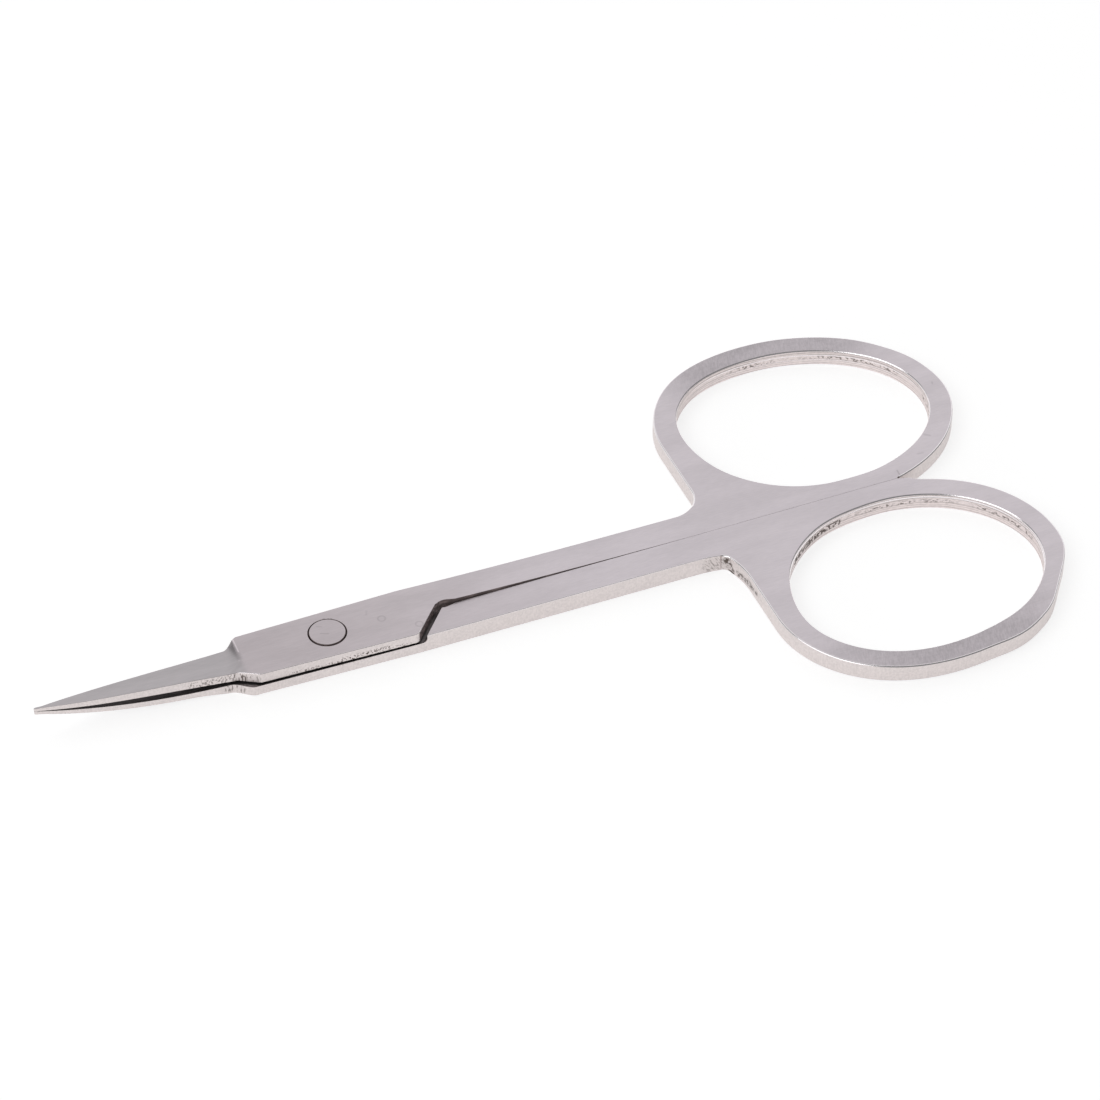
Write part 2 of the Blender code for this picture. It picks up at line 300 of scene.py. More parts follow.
def draw_rim(name, way):
    """Circle of loose edges shaped to the rim, cut at the seam and opened towards the shank."""
    bpy.ops.mesh.primitive_circle_add(vertices=RING_POINTS, radius=1, fill_type="NOTHING")
    blank = bpy.context.object
    blank.name = name
    blank.data.name = name
    for vert in blank.data.vertices:
        vert.co = rim_point(math.atan2(vert.co.y, vert.co.x), way)
    front = min((vert.co.copy() for vert in blank.data.vertices), key=lambda place: place.x)
    enter(blank)
    bpy.ops.mesh.select_all(action="SELECT")
    bpy.ops.mesh.bisect(
        plane_co=(0, seam_end(way), 0), plane_no=(0, 1, 0), clear_inner=True, threshold=CUT_MERGE
    )
    bpy.ops.mesh.select_all(action="DESELECT")
    pick(blank, "verts", lambda v: v.co.x < RING_REACH and v.co.y < front.y - SAME)
    bpy.ops.mesh.delete(type="VERT")
    leave()
    return blank, front


def extrude_round(blank, front, corners, way):
    """Extrude the free end of the rim through the corners, close the outline and fill it."""
    enter(blank)
    pick(blank, "verts", lambda v: near((v.co - front).length, 0))
    here = front
    for x, y in corners:
        there = Vector((x, y, 0))
        bpy.ops.mesh.extrude_region_move(TRANSFORM_OT_translate={"value": there - here})
        here = there
    pick(blank, "verts", lambda v: near(v.co.y, seam_end(way)) and v.co.x > RING_REACH)
    bpy.ops.mesh.edge_face_add()
    bpy.ops.mesh.select_all(action="SELECT")
    bpy.ops.mesh.edge_face_add()
    leave()


def round_corner(blank, corner, reach):
    """Round one corner of the flat outline, starting at a reach from it on both sides."""
    enter(blank)
    pick(blank, "verts", lambda v: near((v.co - Vector((*corner, 0))).length, 0))
    bpy.ops.mesh.bevel(offset=reach, segments=CORNER_SEGMENTS, affect="VERTICES")
    leave()


# %% [markdown]
# Both blanks are stamped with these moves, and both face up, as the press sees them. They are not
# quite alike: the notch beside the near ring was filed to another shape, so it has corners of its
# own.

# %% Stamp both blanks


def stamp_blank(name, way):
    """Blank of one half: its whole outline, as a plate of the stock's thickness."""
    blank, front = draw_rim(name, way)
    near_side, far_side = bar_sides(way)
    slot_root = step_x(0)
    notch = [((front.x + x, BAR_HALF_WIDTH + y), reach) for x, y, reach in NOTCHES[way]]
    step_corner = (step_x(near_side), near_side)
    relief_corner = (slot_root + SLOT_RELIEF_PEAK, SEAM + SLOT_RELIEF)
    corners = [
        *(corner for corner, reach in notch),
        (STEP_REACH, far_side),
        (JOINT_END, edge_side_y(JOINT_END, way)),
        (JOINT_END, spine_side_y(JOINT_END, way)),
        step_corner,
        (slot_root, 0.0),
        relief_corner,
        (slot_root + SLOT_RELIEF_END, SEAM),
        (SEAM_SHUT_REACH, SEAM_SHUT),
        (SEAM_DRIFT_REACH, seam_end(way)),
    ]
    extrude_round(blank, front, corners, way)
    rounded = [*notch, (relief_corner, SLOT_RELIEF_RADIUS), (step_corner, STEP_CORNER_RADIUS)]
    for corner, reach in rounded:
        round_corner(blank, corner, reach)
    enter(blank, "FACE")
    bpy.ops.mesh.select_all(action="SELECT")
    bpy.ops.transform.translate(value=(0, 0, HANDLE_DROP))
    bpy.ops.mesh.extrude_region_move(TRANSFORM_OT_translate={"value": (0, 0, PLATE)})
    bpy.ops.mesh.select_all(action="SELECT")
    bpy.ops.mesh.normals_make_consistent(inside=False)
    leave()
    report_mesh(blank, "blank")
    return blank


upper = stamp_blank("upper_half_steel", 1)
lower = stamp_blank("lower_half_steel", -1)

# %% [markdown]
# Sheet steel fresh from the press has sharp edges, and these were broken on a wheel: lightly along
# the joint and the shanks, and more on the rings, where the skin touches them. A rounded edge shows
# as a fine dark line with a bright one beside it. The bevels are made now, while the plate is a
# plain prism, because they then stay even all the way round. The seam stays sharp, and so does the
# end that will grow into the blade.

# %% Break the edges of the blanks
JOINT_BREAK, RING_BREAK = 0.05, 0.14
RING_BREAK_START = 36.2
EDGE_SEGMENTS = 4


def break_edges(blank):
    """Round the outline's edges, above and below, all but the seam and the joint's end."""

    def outline_edge(edge):
        """An edge between a flat face and a wall, away from the joint's end and the seam."""
        flat = [abs(face.normal.z) > FACING for face in edge.link_faces]
        at_end = all(near(vert.co.x, JOINT_END) for vert in edge.verts)
        at_seam = all(vert.co.x > step_x(0) and vert.co.y < SEAM + SLOT_RELIEF for vert in edge.verts)
        return sum(flat) == 1 and not at_end and not at_seam

    def on_ring(edge):
        """Whether an edge belongs to the ring's outline or the notch beside it."""
        return all(vert.co.x > RING_BREAK_START for vert in edge.verts)

    for width, chosen in ((RING_BREAK, on_ring), (JOINT_BREAK, lambda edge: not on_ring(edge))):
        enter(blank, "EDGE")
        pick(blank, "edges", lambda edge: outline_edge(edge) and chosen(edge))
        bpy.ops.mesh.bevel(offset=width, segments=EDGE_SEGMENTS, affect="EDGES", clamp_overlap=False)
        leave()
    report_mesh(blank, "broken edges")


break_edges(upper)
break_edges(lower)

# %% [markdown]
# Where the halves cross, each gives up part of its thickness, so that the joint is hardly thicker
# than one plate. A cutter is a box with one end set at the slant of the step. It stops a little
# short of the other half's step, and that leaves the open slot beside the upper plate.

# %% Mill the laps
SLOT_WIDTH = 0.58
CUTTER_MARGIN = 2.0
CUTTER_ROUND = 0.38
CUTTER_ROUND_SEGMENTS = 6


def mill_lap(blank):
    """Cut away the underside of joint and blade, up to the slanted step."""
    reach = BAR_HALF_WIDTH + CUTTER_MARGIN
    shift = SLOT_WIDTH / math.sin(STEP_ANGLE)
    bpy.ops.mesh.primitive_cube_add(size=1)
    cutter = bpy.context.object
    enter(cutter)
    middle_z = (LAP_FACE - CUTTER_MARGIN) / 2
    bpy.ops.mesh.select_all(action="SELECT")
    bpy.ops.transform.resize(value=(2 * reach, 2 * reach, LAP_FACE + CUTTER_MARGIN))
    bpy.ops.transform.translate(value=(0, 0, middle_z))
    for side in (-1, 1):
        for end in (-1, 1):
            bpy.ops.mesh.select_all(action="DESELECT")
            pick(cutter, "verts", lambda v: v.co.x * end > 0 and v.co.y * side > 0)
            slanted = step_x(0) + shift - side * reach / math.tan(STEP_ANGLE)
            goal = slanted if end > 0 else JOINT_END - CUTTER_MARGIN
            bpy.ops.transform.translate(value=(goal - end * reach, 0, 0))
    bpy.ops.mesh.select_mode(type="EDGE")
    bpy.ops.mesh.select_all(action="DESELECT")
    pick(cutter, "edges", lambda e: all(v.co.x > 0 and v.co.z > 0 for v in e.verts))
    bpy.ops.mesh.bevel(offset=CUTTER_ROUND, segments=CUTTER_ROUND_SEGMENTS, affect="EDGES")
    leave()
    cut_out(blank, cutter)


mill_lap(upper)
mill_lap(lower)
report_mesh(upper, "milled")
report_mesh(lower, "milled")

# %% [markdown]
# The blade grows out of the joint's square end, one cross-section after another, like a loft. At
# each station the end is extruded a little further and its corners are set to the blade's own
# width, thickness and height there. Stations lie close together at the shoulder, where the wheel
# has left its hollow, and further apart along the blade. The blades of these scissors sweep up
# towards the tip, and they are bowed apart in the middle, so that they shear only where they cross.

# %% Sizes and formulas of the blade
BLADE_REACH = 26.5
GRIND_START = 8.1
BLADE_ROOT_REACH = 9.1
BLADE_ROOT_HALF_WIDTH = 1.67
BLADE_SHIFT = {1: 0.03, -1: 0.13}
BELLY_SHARE = 0.8
TIP_HALF_WIDTH = 0.11
TIP_ROUND, TIP_MARGIN = 0.27, 0.02
SPINE_THICKNESS, SPINE_TIP_THICKNESS, SPINE_POWER = 0.88, 0.3, 2.2
EDGE_THICKNESS, EDGE_TIP_THICKNESS, EDGE_POWER = 0.6, 0.3, 4
BLADE_BOW, BOW_SKEW_SHARE = 0.185, 0.35
TIP_GAP = 0.02
SWEEP_RADIUS = 120.0
SPINE_FLANK = (7.1, 8.9)
UPPER_EDGE_FLANK, LOWER_EDGE_FLANK = (7.7, 9.05), (7.6, 9.5)
STRAIGHT_PARTS = 3
HOLLOW_LENGTH, HOLLOW_SPREAD = 0.75, 1.3
LOWER_GRIND_START, LOWER_HOLLOW_LENGTH = 9.6, 3.6
ROOT_SAG = 0.03
SCALLOP_MIDDLE, SCALLOP_REACH, SCALLOP_DEPTH = 8.0, 0.95, 0.1
CLOSE_STEP, CLOSE_COUNT = 0.15, 26


def share_between(value, start, end):
    """How far a value lies from start to end, from 0 to 1."""
    return max(0.0, min(1.0, (value - start) / (end - start)))


def eased(share):
    """A share that starts and ends gently."""
    return share**2 * (3 - 2 * share)


def blade_middle(x, way):
    """Middle line of the blade, which leads from the shifted joint back to the seam's line."""
    return -way * BLADE_SHIFT[way] * (1 - share_between(-x, BLADE_ROOT_REACH, BLADE_REACH))


def blade_half_width(x):
    """Half width of the blade: a belly at first, a fine tip, and a rounded end."""
    share = share_between(-x, BLADE_ROOT_REACH, BLADE_REACH)
    full = BLADE_ROOT_HALF_WIDTH * (1 - share) * (1 + BELLY_SHARE * share**2)
    end = BLADE_REACH + TIP_MARGIN
    rounding = share_between(-x, end - TIP_ROUND, end)
    return max(TIP_HALF_WIDTH, full) * math.sqrt(1 - rounding**2)


def section_sides(x, way):
    """Spine side and edge side of the steel at x, from the joint over the shoulder to the tip."""
    flank = UPPER_EDGE_FLANK if way > 0 else LOWER_EDGE_FLANK
    edge_share = share_between(-x, *flank)
    if way > 0:
        edge_share = (STRAIGHT_PARTS * edge_share + eased(edge_share)) / (STRAIGHT_PARTS + 1)
    else:
        edge_share = eased(edge_share)
    spine_share = share_between(-x, *SPINE_FLANK)
    middle, half = blade_middle(x, way), blade_half_width(x)
    edge = (1 - edge_share) * edge_side_y(x, way) + edge_share * (middle + half)
    spine = (1 - spine_share) * spine_side_y(x, way) + spine_share * (middle - half)
    return spine, edge


def inner_level(x, way):
    """Height of the face turned to the other blade: swept up, and bowed clear of it."""
    beyond = max(0.0, -x - GRIND_START)
    share = share_between(-x, GRIND_START, BLADE_REACH)
    bow = BLADE_BOW * math.sin(math.pi * share) * (1 + BOW_SKEW_SHARE * math.cos(math.pi * share))
    closing = (LAP_GAP - TIP_GAP) / 2 * share**2
    return LAP_FACE - closing + bow + way * beyond**2 / (2 * SWEEP_RADIUS)


def ground_thickness(x, across, way):
    """Thickness of the steel at x. Across runs from -1 at the spine to 1 at the edge."""
    share = share_between(-x, GRIND_START, BLADE_REACH)
    spine = SPINE_THICKNESS + (SPINE_TIP_THICKNESS - SPINE_THICKNESS) * share**SPINE_POWER
    edge = EDGE_THICKNESS + (EDGE_TIP_THICKNESS - EDGE_THICKNESS) * share**EDGE_POWER
    ground = spine + (edge - spine) * (1 + across) / 2
    start, length = LOWER_GRIND_START, LOWER_HOLLOW_LENGTH
    if way > 0:
        start, length = GRIND_START, HOLLOW_LENGTH + HOLLOW_SPREAD * ((1 - across) / 2) ** 2
    depth = math.sin(share_between(-x, start, start + length) * math.pi / 2)
    thickness = LAP + (ground - LAP) * depth
    if way < 0:
        thickness = min(thickness, JOINT_HEIGHT + ROOT_SAG - inner_level(x, way))
    return thickness


close_stations = [JOINT_END - CLOSE_STEP * step for step in range(1, CLOSE_COUNT + 1)]
blade_stations = [-10.4, *range(-11, -25, -1)]
tip_stations = [-24.8, -25.4, -25.8, -26.1, -26.25, -26.35, -26.42, -26.47, -26.498]
stations = close_stations + blade_stations + tip_stations
print(len(stations), "stations, the tip rises", round(inner_level(-BLADE_REACH, 1) - LAP_FACE, 2), "mm")

# %% [markdown]
# Each corner of the joint's end keeps its part as the blade grows: it belongs to the spine side or
# the edge side, to the inner face or the outer one, and it lies in from the true corner by the
# width of the broken edge. Those parts are read once from the square end. The broken edge of the
# spine side swells a little at the shoulder, which is the scallop that the wheel's rim left there.
# Afterwards the long strips are split lengthwise, so that the hollow at the shoulder can deepen
# towards the edge.

# %% Grow the blades
COLUMNS = 8
LEAST_BREAK = 0.15
LEAST_STEEL = 0.1


def corner_name(place):
    """Name a corner of the joint's end by its place."""
    return round(place.y, 3), round(place.z, 3)


def corner_parts(blank, way):
    """Read the part of each corner of the joint's end: side, outer or inner, and both insets."""
    spine, edge = section_sides(JOINT_END, way)
    parts = {}
    for vert in blank.data.vertices:
        if not near(vert.co.x, JOINT_END):
            continue
        side = 1 if vert.co.y > (spine + edge) / 2 else -1
        outer = vert.co.z > (LAP_FACE + JOINT_HEIGHT) / 2
        inset_y = (edge - vert.co.y) if side > 0 else (vert.co.y - spine)
        inset_z = JOINT_HEIGHT - vert.co.z if outer else 0.0
        parts[corner_name(vert.co)] = (side, outer, inset_y, inset_z)
    return parts


def corner_place(part, x, way):
    """Where a corner of the section lies at station x."""
    side, outer, inset_y, inset_z = part
    spine, edge = section_sides(x, way)
    middle, half = (spine + edge) / 2, (edge - spine) / 2
    low = inner_level(x, way)
    thickness = ground_thickness(x, side, way)
    fineness = min(1.0, thickness / LAP, half / BLADE_ROOT_HALF_WIDTH + LEAST_BREAK)
    if side < 0:
        bump = share_between(abs(-x - SCALLOP_MIDDLE), SCALLOP_REACH, 0.0)
        fineness *= 1 + SCALLOP_DEPTH * eased(bump)
    inset_y, inset_z = inset_y * fineness, inset_z * fineness
    y = middle + side * (half - inset_y)
    across = side * (half - inset_y) / half
    z = low + ground_thickness(x, across, way) - inset_z if outer else low
    return Vector((x, y, z))


def grow_blade(blank, way):
    """Extrude the joint's end through all stations and set its corners at each."""
    parts = corner_parts(blank, way)
    enter(blank, "FACE")
    pick(blank, "faces", lambda f: all(near(v.co.x, JOINT_END) for v in f.verts))
    order = None
    for x in stations:
        bpy.ops.mesh.extrude_region_move(TRANSFORM_OT_translate={"value": (-1, 0, 0)})
        shape = bmesh.from_edit_mesh(blank.data)
        face = next(face for face in shape.faces if face.select)
        if order is None:
            order = [parts[corner_name(vert.co)] for vert in face.verts]
        for vert, part in zip(face.verts, order):
            vert.co = corner_place(part, x, way)
        bmesh.update_edit_mesh(blank.data)
    leave()


def split_lengthwise(blank, way):
    """Split the outer and inner strips into columns, and lay the outer ones on the ground face."""

    def crosses(edge):
        """An edge that runs straight across the blade from side to side."""
        first, last = (vert.co for vert in edge.verts)
        if first.x > JOINT_END + SAME or not near(first.x, last.x):
            return False
        middle = sum(section_sides(first.x, way)) / 2
        return (first.y - middle) * (last.y - middle) < 0

    enter(blank, "EDGE")
    pick(blank, "edges", crosses)
    bpy.ops.mesh.subdivide(number_cuts=COLUMNS - 1)
    shape = bmesh.from_edit_mesh(blank.data)
    for vert in shape.verts:
        if not vert.select or vert.co.x > JOINT_END - SAME:
            continue
        spine, edge = section_sides(vert.co.x, way)
        low = inner_level(vert.co.x, way)
        across = (2 * vert.co.y - spine - edge) / (edge - spine)
        if vert.co.z > low + LEAST_STEEL:
            vert.co.z = low + ground_thickness(vert.co.x, across, way)
    bmesh.update_edit_mesh(blank.data)
    leave()


for half, way in ((upper, 1), (lower, -1)):
    grow_blade(half, way)
    split_lengthwise(half, way)
    report_mesh(half, "bladed")

# %% [markdown]
# The finger holes were punched. A punch leaves a wall in bands: rolled over at the top, bright
# where it was sheared, and rougher where the last part tore. The punch here is an oval extruded in
# steps, each step a few hundredths of a millimetre wider or narrower, and flared at both ends to
# break the hole's edges. Cutting with it leaves real bands that catch the light one by one.

# %% Punch the finger holes
PUNCH_MARGIN = 0.4
ROLLOVER = [(0.0, 0.1), (0.03, 0.036)]
ROLLOVER_SLOPE = 1.25
UPPER_BANDS = [*ROLLOVER, (0.062, 0.008), (0.3, 0.0), (0.36, 0.035), (0.62, 0.02), (0.66, 0.05)]
UPPER_BANDS += [(0.8, 0.03), (0.84, 0.05), (0.95, 0.02), (1.0, 0.08)]
LOWER_BANDS = [*ROLLOVER, (0.065, 0.005), (0.17, 0.04), (0.22, 0.0), (0.42, 0.02), (0.47, 0.06)]
LOWER_BANDS += [(0.74, 0.02), (0.8, 0.05), (0.95, 0.02), (1.0, 0.08)]


def punch(way):
    """Oval cutter with the bands of the hole's wall, each a share of the depth and an offset."""
    bands = UPPER_BANDS if way > 0 else [(1 - depth, offset) for depth, offset in LOWER_BANDS]
    levels = sorted((JOINT_HEIGHT - PLATE * depth, offset) for depth, offset in bands)
    low_slope, high_slope = (1.0, ROLLOVER_SLOPE) if way > 0 else (ROLLOVER_SLOPE, 1.0)
    below = (levels[0][0] - PUNCH_MARGIN, levels[0][1] + PUNCH_MARGIN * low_slope)
    above = (levels[-1][0] + PUNCH_MARGIN, levels[-1][1] + PUNCH_MARGIN * high_slope)
    bpy.ops.mesh.primitive_circle_add(vertices=RING_POINTS, radius=1, fill_type="NGON")
    cutter = bpy.context.object
    enter(cutter, "FACE")
    bpy.ops.mesh.select_all(action="SELECT")
    angles = None
    for level, offset in [below, *levels, above]:
        if angles is not None:
            bpy.ops.mesh.extrude_region_move(TRANSFORM_OT_translate={"value": (0, 0, 1)})
        shape = bmesh.from_edit_mesh(cutter.data)
        face = next(face for face in shape.faces if face.select)
        if angles is None:
            angles = [math.atan2(vert.co.y, vert.co.x) for vert in face.verts]
        for vert, angle in zip(face.verts, angles):
            vert.co = hole_point(angle, way, offset) + Vector((0, 0, level))
        bmesh.update_edit_mesh(cutter.data)
    bpy.ops.mesh.select_all(action="SELECT")
    bpy.ops.mesh.normals_make_consistent(inside=False)
    leave()
    return cutter


for half, way in ((upper, 1), (lower, -1)):
    cut_out(half, punch(way))
    report_mesh(half, "punched")

# %% [markdown]
# The lower half is the same stamping turned over about the scissors' long axis, so it is drawn
# face up like the other and only now given its half turn. The upper half's shank is bent down a
# little, because both rings lie on the table while the joint is thicker than one plate. The mesh is
# cut across many times between the step and the ring, and each cut is lowered by its share of the
# drop. The cuts lie closer together at the step, where the bend falls fastest. The lower half's
# outer wall leans out a little at its foot, as a press leaves it.

# %% Turn the lower half over and bend the upper shank
RING_START = 37.25
BEND_CUTS, CUT_CROWDING = 14, 1.5
BEND_POWER = 2.6
WALL_LEAN = 0.12
LEAN_END, LEAN_FADE = 38.5, 4.0


def bend_down(half):
    """Lower the upper shank from the step to the ring, and the ring with it."""
    enter(half)
    for step in range(BEND_CUTS + 1):
        x = STEP_REACH + (RING_START - STEP_REACH) * (step / BEND_CUTS) ** CUT_CROWDING
        bpy.ops.mesh.select_all(action="SELECT")
        bpy.ops.mesh.bisect(plane_co=(x, 0, 0), plane_no=(1, 0, 0), threshold=CUT_MERGE)
    shape = bmesh.from_edit_mesh(half.data)
    for vert in shape.verts:
        left = 1 - share_between(vert.co.x, STEP_REACH, RING_START)
        vert.co.z -= HANDLE_DROP * (1 - left**BEND_POWER)
    bmesh.update_edit_mesh(half.data)
    leave()


def lean_wall(half):
    """Let the foot of the outer wall of shank and joint stand out a little, as a press leaves it."""
    enter(half)
    shape = bmesh.from_edit_mesh(half.data)
    for vert in shape.verts:
        if vert.co.y < -BAR_HALF_WIDTH / 2 and vert.co.x > JOINT_END:
            fade = share_between(vert.co.x, LEAN_END, LEAN_END - LEAN_FADE)
            fade *= share_between(vert.co.x, JOINT_END, JOINT_END + 1)
            vert.co.y -= WALL_LEAN * fade * share_between(vert.co.z, PLATE, 0.0)
    bmesh.update_edit_mesh(half.data)
    leave()


def move_all(piece, offset):
    """Move a whole mesh in edit mode, so that its object stays at the origin."""
    enter(piece)
    bpy.ops.mesh.select_all(action="SELECT")
    bpy.ops.transform.translate(value=offset)
    leave()


enter(lower)
bpy.ops.mesh.select_all(action="SELECT")
bpy.ops.transform.rotate(value=math.pi, orient_axis="X", center_override=(0, 0, JOINT_MIDDLE))
leave()
lean_wall(lower)
bend_down(upper)
for half in (upper, lower):
    move_all(half, (0, -PIVOT_SHIFT, 0))
    report_mesh(half, "placed")

# %% [markdown]
# The rivet is one pin, peened into a countersink on each side and ground flush, so all that shows is
# a fine circle. It starts as a cylinder's end and is extruded up in steps, wide at both ends. The
# same steps, a trifle wider, cut its seat. The little groove between them is the circle in the
# photograph. The seat lies a hair to one side, so the groove is not equally wide all round.

# %% Rivet and its seat
RIVET_SHANK = 1.1
RIVET_LAND = 0.22
RIVET_TAPER = 0.45
RIVET_MARGIN = 0.13
RIVET_CLEARANCE = 0.135
RIVET_BREAK, SEAT_FLARE = 0.025, 0.008
SEAT_SHIFT = Vector((-0.025, -0.08, 0))
RIVET_STEPS = 96


def turned_pin(name, rings):
    """Closed pin about the pivot axis from (radius, height) rings, from the bottom up."""
    bpy.ops.mesh.primitive_circle_add(vertices=RIVET_STEPS, radius=rings[0][0], fill_type="NGON")
    pin = bpy.context.object
    pin.name = name
    pin.data.name = name
    enter(pin, "FACE")
    bpy.ops.mesh.select_all(action="SELECT")
    bpy.ops.transform.translate(value=(0, 0, rings[0][1]))
    for (before, low), (radius, high) in zip(rings, rings[1:]):
        bpy.ops.mesh.extrude_region_move(TRANSFORM_OT_translate={"value": (0, 0, high - low)})
        grown = radius / before
        bpy.ops.transform.resize(value=(grown, grown, 1), center_override=(0, 0, high))
    bpy.ops.mesh.select_all(action="SELECT")
    bpy.ops.mesh.normals_make_consistent(inside=False)
    leave()
    return pin


def rivet_rings(clearance, beyond, edge):
    """Rings of the pin, or of its seat when given a clearance. The edge is its broken rim."""
    head, shank = RIVET_RADIUS - RIVET_MARGIN + clearance, RIVET_SHANK + clearance
    top = JOINT_HEIGHT
    half = [(shank, top - RIVET_LAND - RIVET_TAPER), (head, top - RIVET_LAND)]
    half += [(head, top - abs(edge)), (head - edge, top)]
    if beyond:
        half.append((head - edge + beyond, top + beyond))
    return [(radius, JOINT_HEIGHT - height) for radius, height in reversed(half)] + half


rivet = turned_pin("rivet_head", rivet_rings(0.0, 0.0, RIVET_BREAK))
for half in (upper, lower):
    seat = turned_pin("seat", rivet_rings(RIVET_CLEARANCE, PUNCH_MARGIN, -SEAT_FLARE))
    move_all(seat, SEAT_SHIFT)
    cut_out(half, seat)
    report_mesh(half, "drilled")

# %% [markdown]
# The pieces are drawn in millimetres, and the scene is in metres. To scale the objects would be
# quicker, but a finished piece has its true size in its mesh and its object unscaled, because that
# is how it is exported. So each mesh is scaled in edit mode, about the origin.

# %% Bring the pieces to metres


def to_metres(piece):
    """Scale a finished mesh from millimetres to metres about the origin."""
    enter(piece)
    bpy.ops.mesh.select_all(action="SELECT")
    bpy.ops.transform.resize(value=(MM, MM, MM), center_override=(0, 0, 0))
    leave()
    reaches = [vert.co.x / MM for vert in piece.data.vertices]
    print(piece.name, "runs from", round(min(reaches), 2), "to", round(max(reaches), 2), "mm")


for piece in (upper, lower, rivet):
    to_metres(piece)

# %% [markdown]
# All of it is one steel, but each surface was left by another tool. The faces are satin from a fine
# belt, the outer walls come bright and pitted from a coarser wheel, the holes show the punch, and
# the gaps are dark with oil and old steel dust. Each finish is a material, and all of them start
# from the same shader, with one colour and one roughness.
#
# The patterns are noises on Object coordinates. A noise that is squeezed across and stretched along
# one direction turns into brush lines, so Mapping nodes are all that a brushed surface needs. A
# picture of brushed steel would need an unwrapped mesh, and would blur under a close camera.

# %% Start a steel and give it a pattern


def new_material(name, colour, roughness, metallic=1.0):
    """Steel with one colour and roughness, and its node tree with the shader."""
    material = bpy.data.materials.new(name)
    material.use_nodes = True
    shader = material.node_tree.nodes["Principled BSDF"]
    shader.inputs["Base Color"].default_value = (*colour, 1)
    shader.inputs["Metallic"].default_value = metallic
    shader.inputs["Roughness"].default_value = roughness
    return material, material.node_tree, shader


def place_node(tree):
    """Object coordinates, in metres."""
    return tree.nodes.new("ShaderNodeTexCoord").outputs["Object"]


def place_part(tree, axis):
    """One of X, Y and Z of the place, in metres."""
    place = tree.nodes.new("ShaderNodeSeparateXYZ")
    tree.links.new(place_node(tree), place.inputs["Vector"])
    return place.outputs[axis]


def scaled_place(tree, scale, turn=(0, 0, 0)):
    """Object coordinates turned and then scaled, for a pattern with a direction."""
    turned = tree.nodes.new("ShaderNodeMapping")
    turned.inputs["Rotation"].default_value = turn
    tree.links.new(place_node(tree), turned.inputs["Vector"])
    scaled = tree.nodes.new("ShaderNodeMapping")
    scaled.inputs["Scale"].default_value = scale
    tree.links.new(turned.outputs["Vector"], scaled.inputs["Vector"])
    return scaled.outputs["Vector"]


def noise(tree, vector, scale=1.0, detail=2.0):
    """Noise value at a scaled place."""
    texture = tree.nodes.new("ShaderNodeTexNoise")
    texture.inputs["Scale"].default_value = scale
    texture.inputs["Detail"].default_value = detail
    tree.links.new(vector, texture.inputs["Vector"])
    return texture.outputs["Fac"]


def relief(tree, shader, height, depth):
    """Fine relief in millimetres from a height between 0 and 1."""
    bump = tree.nodes.new("ShaderNodeBump")
    bump.inputs["Distance"].default_value = depth * MM
    tree.links.new(height, bump.inputs["Height"])
    tree.links.new(bump.outputs["Normal"], shader.inputs["Normal"])


# %% [markdown]
# A pattern becomes a finish by small sums, and each sum is a node: a noise is stretched to the
# tones it should have, tones are added, and a colour is scaled by them or blended into another.
# These helpers add one such node each and link it. They take a socket of the tree or a plain value,
# so that a finish below reads like a formula.

# %% Sums and blends in a node tree


def ranged(tree, value, low, high, start=0.0, end=1.0):
    """Map a value from low..high to start..end, smoothly and clamped."""
    mapped = tree.nodes.new("ShaderNodeMapRange")
    mapped.interpolation_type = "SMOOTHSTEP"
    mapped.inputs["From Min"].default_value = low
    mapped.inputs["From Max"].default_value = high
    mapped.inputs["To Min"].default_value = start
    mapped.inputs["To Max"].default_value = end
    tree.links.new(value, mapped.inputs["Value"])
    return mapped.outputs["Result"]


def faded(tree, value, inner, outer, full=1.0):
    """Full up to the inner length in millimetres, falling to 0 at the outer."""
    return ranged(tree, value, inner * MM, outer * MM, full, 0.0)


def feed(tree, sockets, values):
    """Link each value that comes from the tree to its socket, and set the plain ones."""
    for socket, value in zip(sockets, values):
        if isinstance(value, bpy.types.NodeSocket):
            tree.links.new(value, socket)
        else:
            socket.default_value = value


def maths(tree, operation, first, second, clamp=False):
    """One sum of two values."""
    step = tree.nodes.new("ShaderNodeMath")
    step.operation = operation
    step.use_clamp = clamp
    feed(tree, step.inputs, (first, second))
    return step.outputs["Value"]


def vectors(tree, operation, first, second, output="Vector"):
    """One sum of two vectors, or of a vector and a scale."""
    step = tree.nodes.new("ShaderNodeVectorMath")
    step.operation = operation
    second_socket = step.inputs["Scale"] if operation == "SCALE" else step.inputs[1]
    feed(tree, (step.inputs[0], second_socket), (first, second))
    return step.outputs[output]


def mixed(tree, first, second, share):
    """Blend of two colours by a share from the tree."""
    node = tree.nodes.new("ShaderNodeMix")
    node.data_type = "VECTOR"
    feed(tree, (node.inputs["A"], node.inputs["B"], node.inputs["Factor"]), (first, second, share))
    return node.outputs["Result"]


# %% [markdown]
# Marks that sit in one place, such as a scratch, a worn crease or a stained corner, are strokes: how
# near a point of the surface is to a straight line between two places. A mark is written as its two
# ends in millimetres, the distance up to which it is full, the distance at which it has faded, and
# its weight. The nodes work each mark out for every point that is rendered, so there are only as
# many as the eye would miss.

# %% Marks in one place


def distance(tree, centre):
    """Distance in metres from a place in millimetres."""
    return vectors(tree, "DISTANCE", place_node(tree), Vector(centre) * MM, "Value")


def away_from(tree, value, target):
    """How far a value in metres is from a length in millimetres."""
    return maths(tree, "ABSOLUTE", maths(tree, "SUBTRACT", value, target * MM), 0.0)


